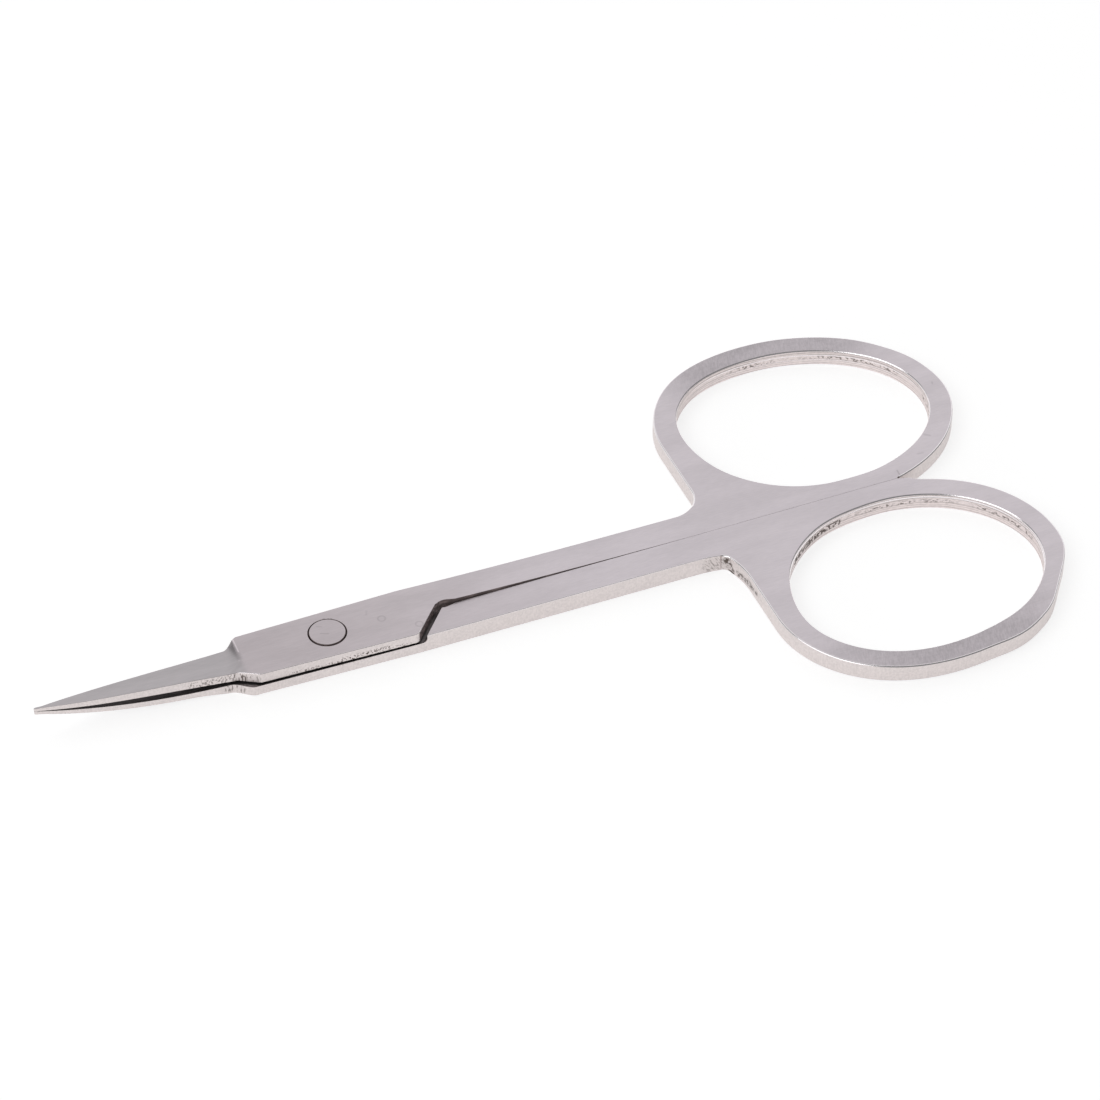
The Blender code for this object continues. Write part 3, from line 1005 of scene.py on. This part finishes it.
def stroke(tree, start, end, inner, outer):
    """1 within the inner distance of a straight mark in millimetres, falling to 0 at the outer."""
    along = (Vector(end) - Vector(start)) * MM
    offset = vectors(tree, "SUBTRACT", place_node(tree), Vector(start) * MM)
    reached = vectors(tree, "DOT_PRODUCT", offset, along, "Value")
    share = maths(tree, "DIVIDE", reached, along.length_squared, clamp=True)
    nearest = vectors(tree, "SCALE", along, share)
    return faded(tree, vectors(tree, "DISTANCE", offset, nearest, "Value"), inner, outer)


def strokes(tree, marks):
    """Strongest of several strokes, each given with its weight."""
    strongest = 0.0
    for start, end, inner, outer, weight in marks:
        mark = maths(tree, "MULTIPLY", stroke(tree, start, end, inner, outer), weight)
        strongest = maths(tree, "MAXIMUM", strongest, mark)
    return strongest


def ring_line(tree, centre, radius, width):
    """1 on a fine circle round a place in millimetres, falling to 0 beside it."""
    return faded(tree, away_from(tree, distance(tree, centre), radius), 0.0, width)


def marks_at(level, marks):
    """Marks that lie on a flat face at one level."""
    return [((*start, level), (*end, level), *shape) for start, end, *shape in marks]


# %% [markdown]
# The flat faces were drawn over a fine belt along the length, which leaves lines closer together
# than the eye can part, and slow bands where the belt pressed harder. Two arcs of the rings were
# dressed crosswise and are darker for it. The blades were ground on another wheel, so they are a
# more neutral grey. A few marks of use are listed one by one: two faint round dents beside the rivet
# and short scratches on rivet and rings. The crease at the shoulder, where the wheel stopped, gets a
# painted highlight, with a painted shade beside it on the blade. The faces are also painted lighter
# from the joint towards the handles, which is a painted reflection.
#
# Most of a noise lies between 0.3 and 0.7, so that stretch is what is mapped to tones.

# %% Satin faces
# Painted reflection: along the length the faces go from the joint's colour to the lighter handle
# colour.
JOINT_COLOUR = (0.53, 0.48, 0.50)
HANDLE_COLOUR = (0.605, 0.557, 0.588)
BLADE_COLOUR = (0.465, 0.437, 0.451)
COLOUR_START, COLOUR_END = -2.0, 26.0
BLADE_COLOUR_START, BLADE_COLOUR_END = -7.7, -8.6
SATIN_ROUGHNESS = 0.34
NOISE_SPREAD = (0.3, 0.7)
BELT_LINES, LINE_SPREAD, LINE_TONES = (1100, 8000, 1100), (0.25, 0.75), (0.965, 1.035)
BELT_DEPTH = 0.0005
BELT_BANDS, BAND_TONES = (110, 520, 400), (-0.04, 0.04)
CROSS_LINES, CROSS_TONES = (9000, 1800, 900), (-0.3, -0.17)
CROSS_TURN = math.radians(19)
CROSS_BRUSHED = [((52.0, 22.8, PLATE), 6.0, 14.0), ((50.0, -23.2, PLATE), 5.0, 15.0)]
DENTS = [(4.98, -0.2, JOINT_HEIGHT), (7.83, -2.08, JOINT_HEIGHT)]
DENT_RADIUS, DENT_LINE, DENT_SHADE = 0.33, 0.13, 0.15
# Painted highlight: a light line laid along the crease at the shoulder.
CREASE_HIGHLIGHT = [
    ((-7.98, 2.16), (-7.99, 0.57), 0.02, 0.11, 0.4),
    ((-8.28, -0.42), (-8.28, -0.5), 0.03, 0.13, 0.16),
]
JOINT_MARKS_AND_CREASE_SHADE = [
    # Painted shade: this first stroke darkens the blade beside the crease; the rest are marks of use.
    ((-8.3, 1.85), (-8.16, -0.2), 0.05, 0.42, 0.16),
    ((-8.2, -0.8), (-9.3, -1.7), 0.0, 0.32, 0.07),
    ((-0.6, 0.02), (0.0, -0.22), 0.02, 0.12, 0.16),
    ((-0.62, 0.98), (-0.25, 0.82), 0.02, 0.11, 0.13),
    ((0.2, 1.7), (0.33, 1.66), 0.02, 0.09, 0.35),
    ((0.6, 1.59), (0.68, 1.56), 0.02, 0.08, 0.35),
    ((0.84, 1.52), (0.93, 1.46), 0.02, 0.09, 0.3),
    ((4.07, 1.23), (3.9, 0.77), 0.03, 0.15, 0.08),
]
RING_MARKS = [
    ((60.8, 4.68), (61.2, 4.36), 0.05, 0.2, 0.14),
    ((58.96, 2.4), (59.46, 2.37), 0.02, 0.18, 0.12),
    ((56.12, 1.0), (56.07, 0.43), 0.03, 0.12, 0.2),
    ((64.99, 11.34), (64.9, 11.1), 0.03, 0.14, 0.14),
]


def cross_strokes(tree):
    """Darker strokes at a slant, on two arcs of the rings only."""
    arcs = 0.0
    for centre, inner, outer in CROSS_BRUSHED:
        arcs = maths(tree, "MAXIMUM", arcs, faded(tree, distance(tree, centre), inner, outer))
    lines = noise(tree, scaled_place(tree, CROSS_LINES, (0, 0, CROSS_TURN)), detail=4.0)
    return maths(tree, "MULTIPLY", arcs, ranged(tree, lines, *NOISE_SPREAD, *CROSS_TONES))


def satin_steel():
    """Satin face: belt lines, cross strokes, slow bands, marks, a painted highlight and shade at the
    crease, and a painted reflection lighter towards the handles.
    """
    material, tree, shader = new_material("satin_steel", JOINT_COLOUR, SATIN_ROUGHNESS)
    lines = noise(tree, scaled_place(tree, BELT_LINES), detail=5.0)
    bands = noise(tree, scaled_place(tree, BELT_BANDS), detail=4.0)
    tone = ranged(tree, lines, *LINE_SPREAD, *LINE_TONES)
    tone = maths(tree, "ADD", tone, cross_strokes(tree))
    tone = maths(tree, "ADD", tone, ranged(tree, bands, *NOISE_SPREAD, *BAND_TONES))
    marks = marks_at(JOINT_HEIGHT, JOINT_MARKS_AND_CREASE_SHADE) + marks_at(PLATE, RING_MARKS)
    tone = maths(tree, "SUBTRACT", tone, strokes(tree, marks))
    # Painted highlight along the crease.
    tone = maths(tree, "ADD", tone, strokes(tree, marks_at(JOINT_HEIGHT, CREASE_HIGHLIGHT)))
    for dent in DENTS:
        ring = ring_line(tree, dent, DENT_RADIUS, DENT_LINE)
        tone = maths(tree, "ADD", tone, maths(tree, "MULTIPLY", ring, -DENT_SHADE))
    # Painted reflection: lighter from the joint towards the handles.
    along = place_part(tree, "X")
    handle = ranged(tree, along, COLOUR_START * MM, COLOUR_END * MM)
    colour = mixed(tree, JOINT_COLOUR, HANDLE_COLOUR, handle)
    blade = faded(tree, along, BLADE_COLOUR_END, BLADE_COLOUR_START)
    colour = mixed(tree, colour, BLADE_COLOUR, blade)
    tree.links.new(vectors(tree, "SCALE", colour, tone), shader.inputs["Base Color"])
    relief(tree, shader, lines, BELT_DEPTH)
    return material


# %% [markdown]
# The outer walls look brighter than the faces, because they mirror the white table. A wheel held
# upright left faint marks across them, and pits stayed where it did not reach: along the split of
# the joint, in the corners of the shoulder and in the near notch, where old polish has stained the
# steel brown. A stain is a noise that is cut off sharply, laid under a stroke. Its cut says between
# which values of the noise the stain begins and is full. Two of the cuts also say how much stain is
# left outside and inside, so that the stroke itself shows a little.

# %% Ground walls
WALL_COLOUR, WALL_ROUGHNESS = (0.76, 0.70, 0.69), 0.5
STAIN_COLOUR = (0.13, 0.105, 0.095)
UPRIGHT_MARKS, WHEEL_TONES = (7500, 7500, 1300), (0.97, 1.02)
SLANTED_MARKS, SLANT = (8000, 8000, 2200), math.radians(38)
BLOTCHES = (3400, 3400, 4600)
PIT_SCALE, PIT_TONES, PIT_DEPTH = 5200, (0.05, -0.06), 0.008
NOTCH_CUT = (0.45, 0.55, 0.15, 1.0)
NOTCH_STAINS = [
    ((36.55, -3.95, 1.2), (36.85, -4.4, 0.3), 0.25, 0.55, 1.0),
    ((37.0, -5.3, 0.6), (37.25, -7.2, 0.8), 0.2, 0.55, 1.0),
    ((37.25, -7.2, 0.8), (37.25, -8.6, 0.95), 0.15, 0.45, 1.0),
    ((37.25, -9.4, 0.9), (37.25, -9.9, 0.9), 0.05, 0.3, 0.7),
    ((37.25, -11.1, 0.75), (37.25, -11.6, 0.75), 0.05, 0.25, 0.6),
]
SLANTED_CUT = (0.48, 0.62, 0.1, 1.0)
SLANTED_STAINS = [((35.2, -3.45, 0.8), (36.4, -3.75, 0.9), 0.4, 1.0, 0.55)]
SHOULDER_CUT = (0.5, 0.6)
SHOULDER_STAINS = [
    ((-9.6, -1.85, 1.6), (-8.5, -2.1, 1.5), 0.3, 0.75, 0.95),
    ((-8.4, -2.15, 1.6), (-7.4, -2.6, 1.6), 0.2, 0.5, 0.5),
    ((-9.8, -2.0, 0.6), (-8.8, -2.3, 0.5), 0.2, 0.6, 0.7),
]
PIT_CUT = (0.525, 0.585)
PIT_STAINS = [
    ((0.2, -3.05, 1.3), (4.6, -3.15, 1.35), 0.16, 0.5, 1.0),
    ((-4.5, -2.95, 1.25), (6.4, -3.15, 1.25), 0.05, 0.38, 0.8),
    ((-12.8, -1.5, 1.7), (-9.4, -1.8, 1.6), 0.2, 0.6, 0.6),
]


def ground_wall():
    """Bright outer wall: faint upright wheel marks, pits along the split, and stained corners."""
    material, tree, shader = new_material("ground_wall", WALL_COLOUR, WALL_ROUGHNESS)
    upright = noise(tree, scaled_place(tree, UPRIGHT_MARKS), detail=3.0)
    slanted = noise(tree, scaled_place(tree, SLANTED_MARKS, (0, SLANT, 0)), detail=3.0)
    blotches = noise(tree, scaled_place(tree, BLOTCHES), detail=4.0)
    pits = noise(tree, place_node(tree), PIT_SCALE, detail=3.0)
    stain = 0.0
    for marks, pattern, cut in (
        (NOTCH_STAINS, blotches, NOTCH_CUT),
        (SLANTED_STAINS, slanted, SLANTED_CUT),
        (SHOULDER_STAINS, upright, SHOULDER_CUT),
        (PIT_STAINS, pits, PIT_CUT),
    ):
        part = maths(tree, "MULTIPLY", strokes(tree, marks), ranged(tree, pattern, *cut))
        stain = maths(tree, "MAXIMUM", stain, part)
    tone = ranged(tree, upright, *NOISE_SPREAD, *WHEEL_TONES)
    tone = maths(tree, "ADD", tone, ranged(tree, pits, *NOISE_SPREAD, *PIT_TONES))
    colour = mixed(tree, vectors(tree, "SCALE", WALL_COLOUR, tone), STAIN_COLOUR, stain)
    tree.links.new(colour, shader.inputs["Base Color"])
    relief(tree, shader, pits, PIT_DEPTH)
    return material


# %% [markdown]
# The bands that the punch left in the holes are real, but they are only hundredths of a millimetre
# deep. So each score line also gets a painted shade, drawn darker at its height on the wall, and the
# wall is painted lighter towards its foot, a painted highlight. The lines wander a little, because
# the height is first pushed up and down by a slow noise. Specks gather at mid height towards the
# outer ends of the holes, and the near hole is stained brown where the punch tore.

# %% Punched walls
PUNCHED_COLOUR = (0.745, 0.672, 0.662)
PUNCH_GRAINS, PUNCH_TONES = (3200, 3200, 5200), (1.06, 0.94)
# Painted light: below the lower band the wall is painted lighter, fading to a little lighter above the
# upper band.
LOWER_BAND, UPPER_BAND, FOOT_LIGHT_TONES = 0.6, 0.8, (0.15, 0.05)
WANDER_SCALE, WANDER_SPREAD, WANDER = 160, (0.2, 0.8), 0.12
# Painted shade: each score line is a darker line at its level, with its width and its depth of tone.
SHADED_SCORES = [(1.53, 0.08, -0.34), (1.28, 0.09, -0.36), (0.68, 0.11, -0.26), (0.45, 0.08, -0.24)]
SHADED_SCORES += [(0.2, 0.08, -0.3)]
SCORE_CORE = 0.3
SPECK_CUT, SPECK_WEIGHT = (0.5, 0.59), 0.85
SPECK_LEVEL, SPECK_REACH = 0.88, 0.36
SPECK_START, SPECK_FULL = 46.5, 50.5
CLUSTER_SCALE, CLUSTER_CUT = 190, (0.36, 0.5)
TORN_SCALE, TORN_CUT, TORN_LEVEL = 3200, (0.42, 0.5), 0.85
TORN_ANGLES = [(-146, -128, 0.3, 0.5, 1.0), (-128, -109, 0.25, 0.45, 1.0)]


def near_hole_place(angle):
    """Place on the punched wall of the near ring, at an angle in degrees, where it tore."""
    place = hole_point(math.radians(angle), -1)
    return (place.x, -place.y - PIVOT_SHIFT, TORN_LEVEL)


def torn_stretch(tree):
    """Brown stain on the near hole's wall, where the punch tore."""
    marks = [(near_hole_place(a), near_hole_place(b), *shape) for a, b, *shape in TORN_ANGLES]
    blotches = noise(tree, place_node(tree), TORN_SCALE, detail=3.0)
    return maths(tree, "MULTIPLY", strokes(tree, marks), ranged(tree, blotches, *TORN_CUT))


def speckles(tree, height, grains):
    """Dark specks in clusters at mid height, towards the outer ends of the holes."""
    cluster = ranged(tree, noise(tree, place_node(tree), CLUSTER_SCALE), *CLUSTER_CUT)
    outwards = ranged(tree, place_part(tree, "X"), SPECK_START * MM, SPECK_FULL * MM)
    cluster = maths(tree, "MULTIPLY", cluster, outwards)
    level = faded(tree, away_from(tree, height, SPECK_LEVEL), 0.0, SPECK_REACH, SPECK_WEIGHT)
    specks = maths(tree, "MULTIPLY", level, ranged(tree, grains, *SPECK_CUT))
    return maths(tree, "MULTIPLY", specks, cluster)


def punched_wall():
    """Wall of a punched hole: score lines with painted shade, painted light towards the foot, specks
    along the middle, and a torn stretch.
    """
    material, tree, shader = new_material("punched_wall", PUNCHED_COLOUR, WALL_ROUGHNESS)
    slow = noise(tree, place_node(tree), WANDER_SCALE)
    wander = ranged(tree, slow, *WANDER_SPREAD, -WANDER * MM, WANDER * MM)
    height = maths(tree, "ADD", place_part(tree, "Z"), wander)
    grains = noise(tree, scaled_place(tree, PUNCH_GRAINS), detail=3.0)
    stain = maths(tree, "MAXIMUM", torn_stretch(tree), speckles(tree, height, grains))
    tone = ranged(tree, grains, *NOISE_SPREAD, *PUNCH_TONES)
    # Painted light towards the foot of the wall.
    lift = ranged(tree, height, LOWER_BAND * MM, UPPER_BAND * MM, *FOOT_LIGHT_TONES)
    tone = maths(tree, "ADD", tone, lift)
    # Painted shade along each score line.
    for level, width, depth in SHADED_SCORES:
        line = faded(tree, away_from(tree, height, level), SCORE_CORE * width, width, depth)
        tone = maths(tree, "ADD", tone, line)
    colour = mixed(tree, vectors(tree, "SCALE", PUNCHED_COLOUR, tone), STAIN_COLOUR, stain)
    tree.links.new(colour, shader.inputs["Base Color"])
    relief(tree, shader, grains, PIT_DEPTH)
    return material


# %% [markdown]
# Two finishes lie inside the joint. The seam, the slot and the groove round the rivet get a painted
# shade: they are dark and hardly metallic, because light hardly reaches them. The laps stay brushed
# steel, painted greyer than the outside as shade where they show in the slot. One function makes
# both, as streaks along the length, with a wide or a narrow range of tones. The broken edges need no
# pattern. The wheel has burnished them, and their colour is raised almost to white, a painted
# highlight that makes them the brightest steel of all.

# %% Edges, gaps and laps
# Painted highlight: the colour of the broken edges is raised almost to white.
EDGE_HIGHLIGHT_COLOUR, EDGE_ROUGHNESS = (0.96, 0.92, 0.94), 0.22
# Painted shade: the gaps and the laps are darkened.
GAP_SHADE_COLOUR, LAP_SHADE_COLOUR = (0.24, 0.19, 0.188), (0.33, 0.305, 0.31)
STREAKS, STREAK_SPREAD = (900, 6500, 2500), (0.4, 0.7)


def streaked(name, colour, metallic, roughness, tones):
    """Inner face with streaks, from the low to the high one of two tones."""
    material, tree, shader = new_material(name, colour, roughness, metallic)
    streaks = noise(tree, scaled_place(tree, STREAKS), detail=4.0)
    shade = vectors(tree, "SCALE", colour, ranged(tree, streaks, *STREAK_SPREAD, *tones))
    tree.links.new(shade, shader.inputs["Base Color"])
    return material


FINISHES = {
    "satin": satin_steel(),
    "wall": ground_wall(),
    "edge": new_material("burnished_highlight_edge", EDGE_HIGHLIGHT_COLOUR, EDGE_ROUGHNESS)[0],
    "punched": punched_wall(),
    "dark": streaked("shaded_gap", GAP_SHADE_COLOUR, metallic=0.2, roughness=0.55, tones=(0.8, 1.8)),
    "lap": streaked("shaded_lap", LAP_SHADE_COLOUR, metallic=1.0, roughness=0.4, tones=(0.85, 1.15)),
}
SLOTS = {name: number for number, name in enumerate(FINISHES)}
for name, material in FINISHES.items():
    print("finish", name, "has", len(material.node_tree.nodes), "nodes")

# %% [markdown]
# Each half is one piece of steel, so it cannot be parted to dress it. Instead every face is asked
# where it lies and which way it looks, and that tells which tool made it: a face that looks straight
# up or down is satin, an upright one is a ground wall, and what lies between is a broken edge. The
# hole, the blade's inner face, the laps, the slot and the seam come before that rule, by their
# place. Where the finish changes, the edge is marked sharp, so that the shading does not smear it.

# %% Tell the finish of a face
FLAT, UPRIGHT = 0.9965, 0.25
HOLE_MARGIN, FLARE_LEVEL = 0.22, 0.3
GROUND_LEAN = 0.2
SEAT_MARGIN = 0.2
JOINT_MARGIN = 1.0
SLANT_FACING, SEAM_FACING = 0.97, 0.995
SEAM_MARGIN, SEAM_BACK = 0.05, 0.2
FOOT = PLATE / 4


def is_hole_wall(place, way):
    """Whether a place lies on the punched wall of this half's ring."""
    mirrored = Vector((place.x, way * (place.y + PIVOT_SHIFT), 0))
    angle = math.atan2(mirrored.y - RING_OFFSET, mirrored.x - RING_REACH)
    centre = Vector((RING_REACH, RING_OFFSET, 0))
    return (mirrored - centre).length < (hole_point(angle, way, HOLE_MARGIN) - centre).length


def in_slot(place, normal, way):
    """Whether a face of the joint is a wall or a milled fillet of the slot, or the slanted step."""
    level = abs(normal.z)
    fillet = level < FACING and abs(place.z - JOINT_MIDDLE) < CUTTER_ROUND
    inside = abs(place.y) < BAR_HALF_WIDTH - CUTTER_ROUND and (level < UPRIGHT or fillet)
    slant = Vector((math.sin(STEP_ANGLE), -way * math.cos(STEP_ANGLE), 0))
    on_step = abs(normal.dot(slant)) > SLANT_FACING
    return place.x > STEP_REACH - JOINT_MARGIN and (inside or on_step)


def in_seam(place, normal, way):
    """Whether a face is the seam's wall. Where the seam is shut, only its flat stretch is."""
    across, facing = way * (place.y + PIVOT_SHIFT), -way * normal.y
    beside = -SEAM_BACK < across < SEAM + SLOT_RELIEF + SEAM_MARGIN
    along = place.x > step_x(0) - SEAM_BACK
    least = 0.0 if place.x < SEAM_SHUT_REACH else SEAM_FACING
    return abs(normal.z) < UPRIGHT and beside and along and facing > least


def blade_finish(normal, way):
    """Finish of a face of the blade: lap side, ground face, broken edge or wall."""
    outward = normal.z * way
    if outward < -FACING:
        return "lap"
    if abs(normal.y) < GROUND_LEAN:
        return "satin"
    return "edge" if outward > UPRIGHT else "wall"


def half_finish(place, normal, way):
    """Finish of a face of a half, from its middle, in millimetres, and its normal."""
    level = abs(normal.z)
    if is_hole_wall(place, way) and level < FLAT:
        return "edge" if level > FLARE_LEVEL else "punched"
    if place.x < -GRIND_START:
        return blade_finish(normal, way)
    if place.xy.length < RIVET_RADIUS + SEAT_MARGIN and level < FLAT:
        return "dark"
    if place.x < step_x(0) + JOINT_MARGIN:
        if level > FACING and abs(place.z - JOINT_MIDDLE) < LAP_GAP:
            return "lap"
        if in_slot(place, normal, way):
            return "dark"
    if in_seam(place, normal, way):
        return "dark"
    # Painted shade: a broken edge near the foot that looks down gets the darker satin colour, which
    # draws a dark line along the bottom edge.
    if level > FLAT or (normal.z < -UPRIGHT and place.z < FOOT):
        return "satin"
    return "edge" if level > UPRIGHT else "wall"


def rivet_finish(place, normal):
    """Finish of a face of the rivet: satin on both ends, and dark wherever it is in its seat."""
    at_end = abs(normal.z) > FLAT and abs(place.z - JOINT_MIDDLE) > LAP
    return "satin" if at_end else "dark"


# %% [markdown]
# Now the faces get their finishes, and the pieces take the places of the plain solids: each rides on
# the body that moves it, and the node that it replaces is hidden.

# %% Give each face its finish
SMOOTH_ANGLE = math.radians(35)


def dress(piece, way):
    """Give every face of a piece its finish, and keep the lines between finishes crisp."""
    piece.data.materials.clear()
    for material in FINISHES.values():
        piece.data.materials.append(material)
    counts = dict.fromkeys(FINISHES, 0)
    for face in piece.data.polygons:
        place = face.center / MM
        name = half_finish(place, face.normal, way) if way else rivet_finish(place, face.normal)
        face.material_index = SLOTS[name]
        counts[name] += 1
    work_on(piece)
    bpy.ops.object.shade_smooth_by_angle(angle=SMOOTH_ANGLE)
    enter(piece, "EDGE")
    pick(piece, "edges", lambda e: len({face.material_index for face in e.link_faces}) > 1)
    bpy.ops.mesh.mark_sharp()
    leave()
    print(piece.name, counts)


for piece, body, node, slot, way in (
    (upper, "upper", "upper_half", "upper_steel", 1),
    (lower, "lower", "lower_half", "lower_steel", -1),
    (rivet, "lower", "pivot_rivet", "rivet_steel", 0),
):
    dress(piece, way)
    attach(piece, body)
    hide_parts(node)

# %% [markdown]
# The camera looks as the photograph's did: from the near side, a little from the blades' end, and
# well from above. A camera can be placed by eye and nudged, but then each difference in the picture
# may be the camera's or the object's. Here it was solved from the two rings, the rivet's circle and
# the seam, whose shapes are known, so what still differs is the object alone.

# %% Camera
LENS = 110.807
SENSOR = 36.0
NEAREST = 0.01
CAMERA_PLACE = Vector((-63.099, -206.695, 205.881)) * MM
CAMERA_LOOK = Vector((0.28004, 0.68785, -0.66966)).normalized()
CAMERA_UP = Vector((0.25387, 0.61967, 0.74267))

camera = bpy.data.objects.new("camera", bpy.data.cameras.new("camera"))
bpy.context.scene.collection.objects.link(camera)
camera.data.lens = LENS
camera.data.sensor_width = SENSOR
camera.data.clip_start = NEAREST
camera_right = CAMERA_LOOK.cross(CAMERA_UP).normalized()
turn = Matrix((camera_right, camera_right.cross(CAMERA_LOOK), -CAMERA_LOOK)).transposed()
camera.matrix_world = Matrix.Translation(CAMERA_PLACE) @ turn.to_4x4()
bpy.context.scene.camera = camera
print("camera looks down by", round(math.degrees(math.asin(-CAMERA_LOOK.z)), 1), "degrees")

# %% [markdown]
# The studio is a white table under a large panel. Steel shows what it reflects. The flat faces
# mirror the panel, which stands beyond the scissors, the walls mirror the white table, and the
# rounded edges between them sweep through the dimmer room, which draws the fine dark line beside
# each edge. The panel could be a large lamp. In the world's background it is a few nodes, it is
# equally far from every face, and its rim can be as soft as the faces need.

# %% Room with a panel
PANEL_WAY = Vector((0.28, 0.69, 0.67)).normalized()
PANEL_EDGE, PANEL_CORE = 0.6, 0.88
PANEL_LEFT, PANEL_RIGHT, PANEL_TURN = 0.84, 1.0, 0.5
ROOM_DIM = 0.2
HORIZON_TOP, HORIZON_START = 0.42, 0.2
HORIZON_TILT = 0.25


def light_room():
    """Dim room with a bright horizon and one large panel, a little lighter on the right."""
    world = bpy.data.worlds.new("studio_room")
    bpy.context.scene.world = world
    world.use_nodes = True
    tree = world.node_tree
    direction = tree.nodes.new("ShaderNodeTexCoord").outputs["Generated"]
    parts = tree.nodes.new("ShaderNodeSeparateXYZ")
    tree.links.new(direction, parts.inputs["Vector"])
    facing = vectors(tree, "DOT_PRODUCT", direction, PANEL_WAY, "Value")
    panel = ranged(tree, facing, PANEL_EDGE, PANEL_CORE)
    sides = ranged(tree, parts.outputs["X"], 0.0, PANEL_TURN, PANEL_LEFT, PANEL_RIGHT)
    panel = maths(tree, "MULTIPLY", panel, sides)
    right = maths(tree, "MAXIMUM", parts.outputs["X"], 0.0)
    tilt = maths(tree, "MULTIPLY", right, HORIZON_TILT)
    rise = maths(tree, "ADD", parts.outputs["Z"], tilt)
    horizon = ranged(tree, rise, HORIZON_START, HORIZON_TOP, 1.0, 0.0)
    level = maths(tree, "MAXIMUM", maths(tree, "MAXIMUM", panel, horizon), ROOM_DIM)
    tree.links.new(level, tree.nodes["Background"].inputs["Strength"])
    tree.nodes["Background"].inputs["Color"].default_value = (1, 1, 1, 1)
    print("room has", len(tree.nodes), "nodes")


light_room()

# %% [markdown]
# The table is a plain plane at the lowest point of the part. It shows white to the camera and in
# reflections through Light Path, and it still takes a faint shadow, because part of its white is its
# own colour under the lamp. To light a grey table until it looks white would bleach the steel.

# %% Floor
FLOOR_COLOUR = 0.8
FLOOR_GLOW = 0.71
FLOOR_LEVEL = 0.5
FLOOR_SIZE = 6.0


def white_floor():
    """Pale floor that shows white, with a faint shadow, to the camera and in reflections."""
    material = bpy.data.materials.new("white_floor")
    material.use_nodes = True
    tree = material.node_tree
    shader = tree.nodes["Principled BSDF"]
    shader.inputs["Base Color"].default_value = (FLOOR_COLOUR, FLOOR_COLOUR, FLOOR_COLOUR, 1)
    shader.inputs["Roughness"].default_value = 1.0
    shader.inputs["Specular IOR Level"].default_value = 0.0
    matt = tree.nodes.new("ShaderNodeBsdfDiffuse")
    matt.inputs["Color"].default_value = (FLOOR_LEVEL, FLOOR_LEVEL, FLOOR_LEVEL, 1)
    glow = tree.nodes.new("ShaderNodeEmission")
    glow.inputs["Strength"].default_value = FLOOR_GLOW
    shown = tree.nodes.new("ShaderNodeAddShader")
    tree.links.new(matt.outputs["BSDF"], shown.inputs[0])
    tree.links.new(glow.outputs["Emission"], shown.inputs[1])
    path = tree.nodes.new("ShaderNodeLightPath")
    seen = maths(tree, "MAXIMUM", path.outputs["Is Camera Ray"], path.outputs["Is Glossy Ray"])
    seen = maths(tree, "MAXIMUM", seen, path.outputs["Is Transmission Ray"])
    choice = tree.nodes.new("ShaderNodeMixShader")
    tree.links.new(seen, choice.inputs["Fac"])
    tree.links.new(shader.outputs["BSDF"], choice.inputs[1])
    tree.links.new(shown.outputs["Shader"], choice.inputs[2])
    tree.links.new(choice.outputs["Shader"], tree.nodes["Material Output"].inputs["Surface"])
    return material


bpy.ops.mesh.primitive_plane_add(size=FLOOR_SIZE, location=(0, 0, cad_low.z))
floor = bpy.context.object
floor.name = "floor"
floor.data.materials.append(white_floor())
print("floor lies", round(-cad_low.z / MM, 3), "mm below the origin")

# %% [markdown]
# One long soft lamp hangs above on the left. It gives the edges that face it their bright line, and
# the scissors their faint shadow. It is large for its distance, because a small lamp would draw
# hard white lines along every broken edge.

# %% Lamp
LAMP_PLACE = Vector((-0.66, -0.22, 0.68))
LAMP_LENGTH, LAMP_WIDTH = 1.1, 0.55
LAMP_ENERGY = 3.0

bpy.ops.object.light_add(type="AREA", location=LAMP_PLACE)
lamp = bpy.context.object
lamp.name = "overhead_lamp"
lamp.data.shape = "RECTANGLE"
lamp.data.size = LAMP_LENGTH
lamp.data.size_y = LAMP_WIDTH
lamp.data.energy = LAMP_ENERGY
lamp.rotation_euler = (-LAMP_PLACE).to_track_quat("-Z", "Y").to_euler()
bpy.context.scene.view_settings.view_transform = "Standard"
print("lamp hangs", round(LAMP_PLACE.length, 2), "m from the rivet")

# %% [markdown]
# The dressed pieces have to stay inside the box of the imported solids, because the solids carry the
# true sizes. That box is printed in millimetres.

# %% Print the box of the imported solids
print("CAD box in mm", [round(value / MM, 3) for value in (*cad_low, *cad_high)])
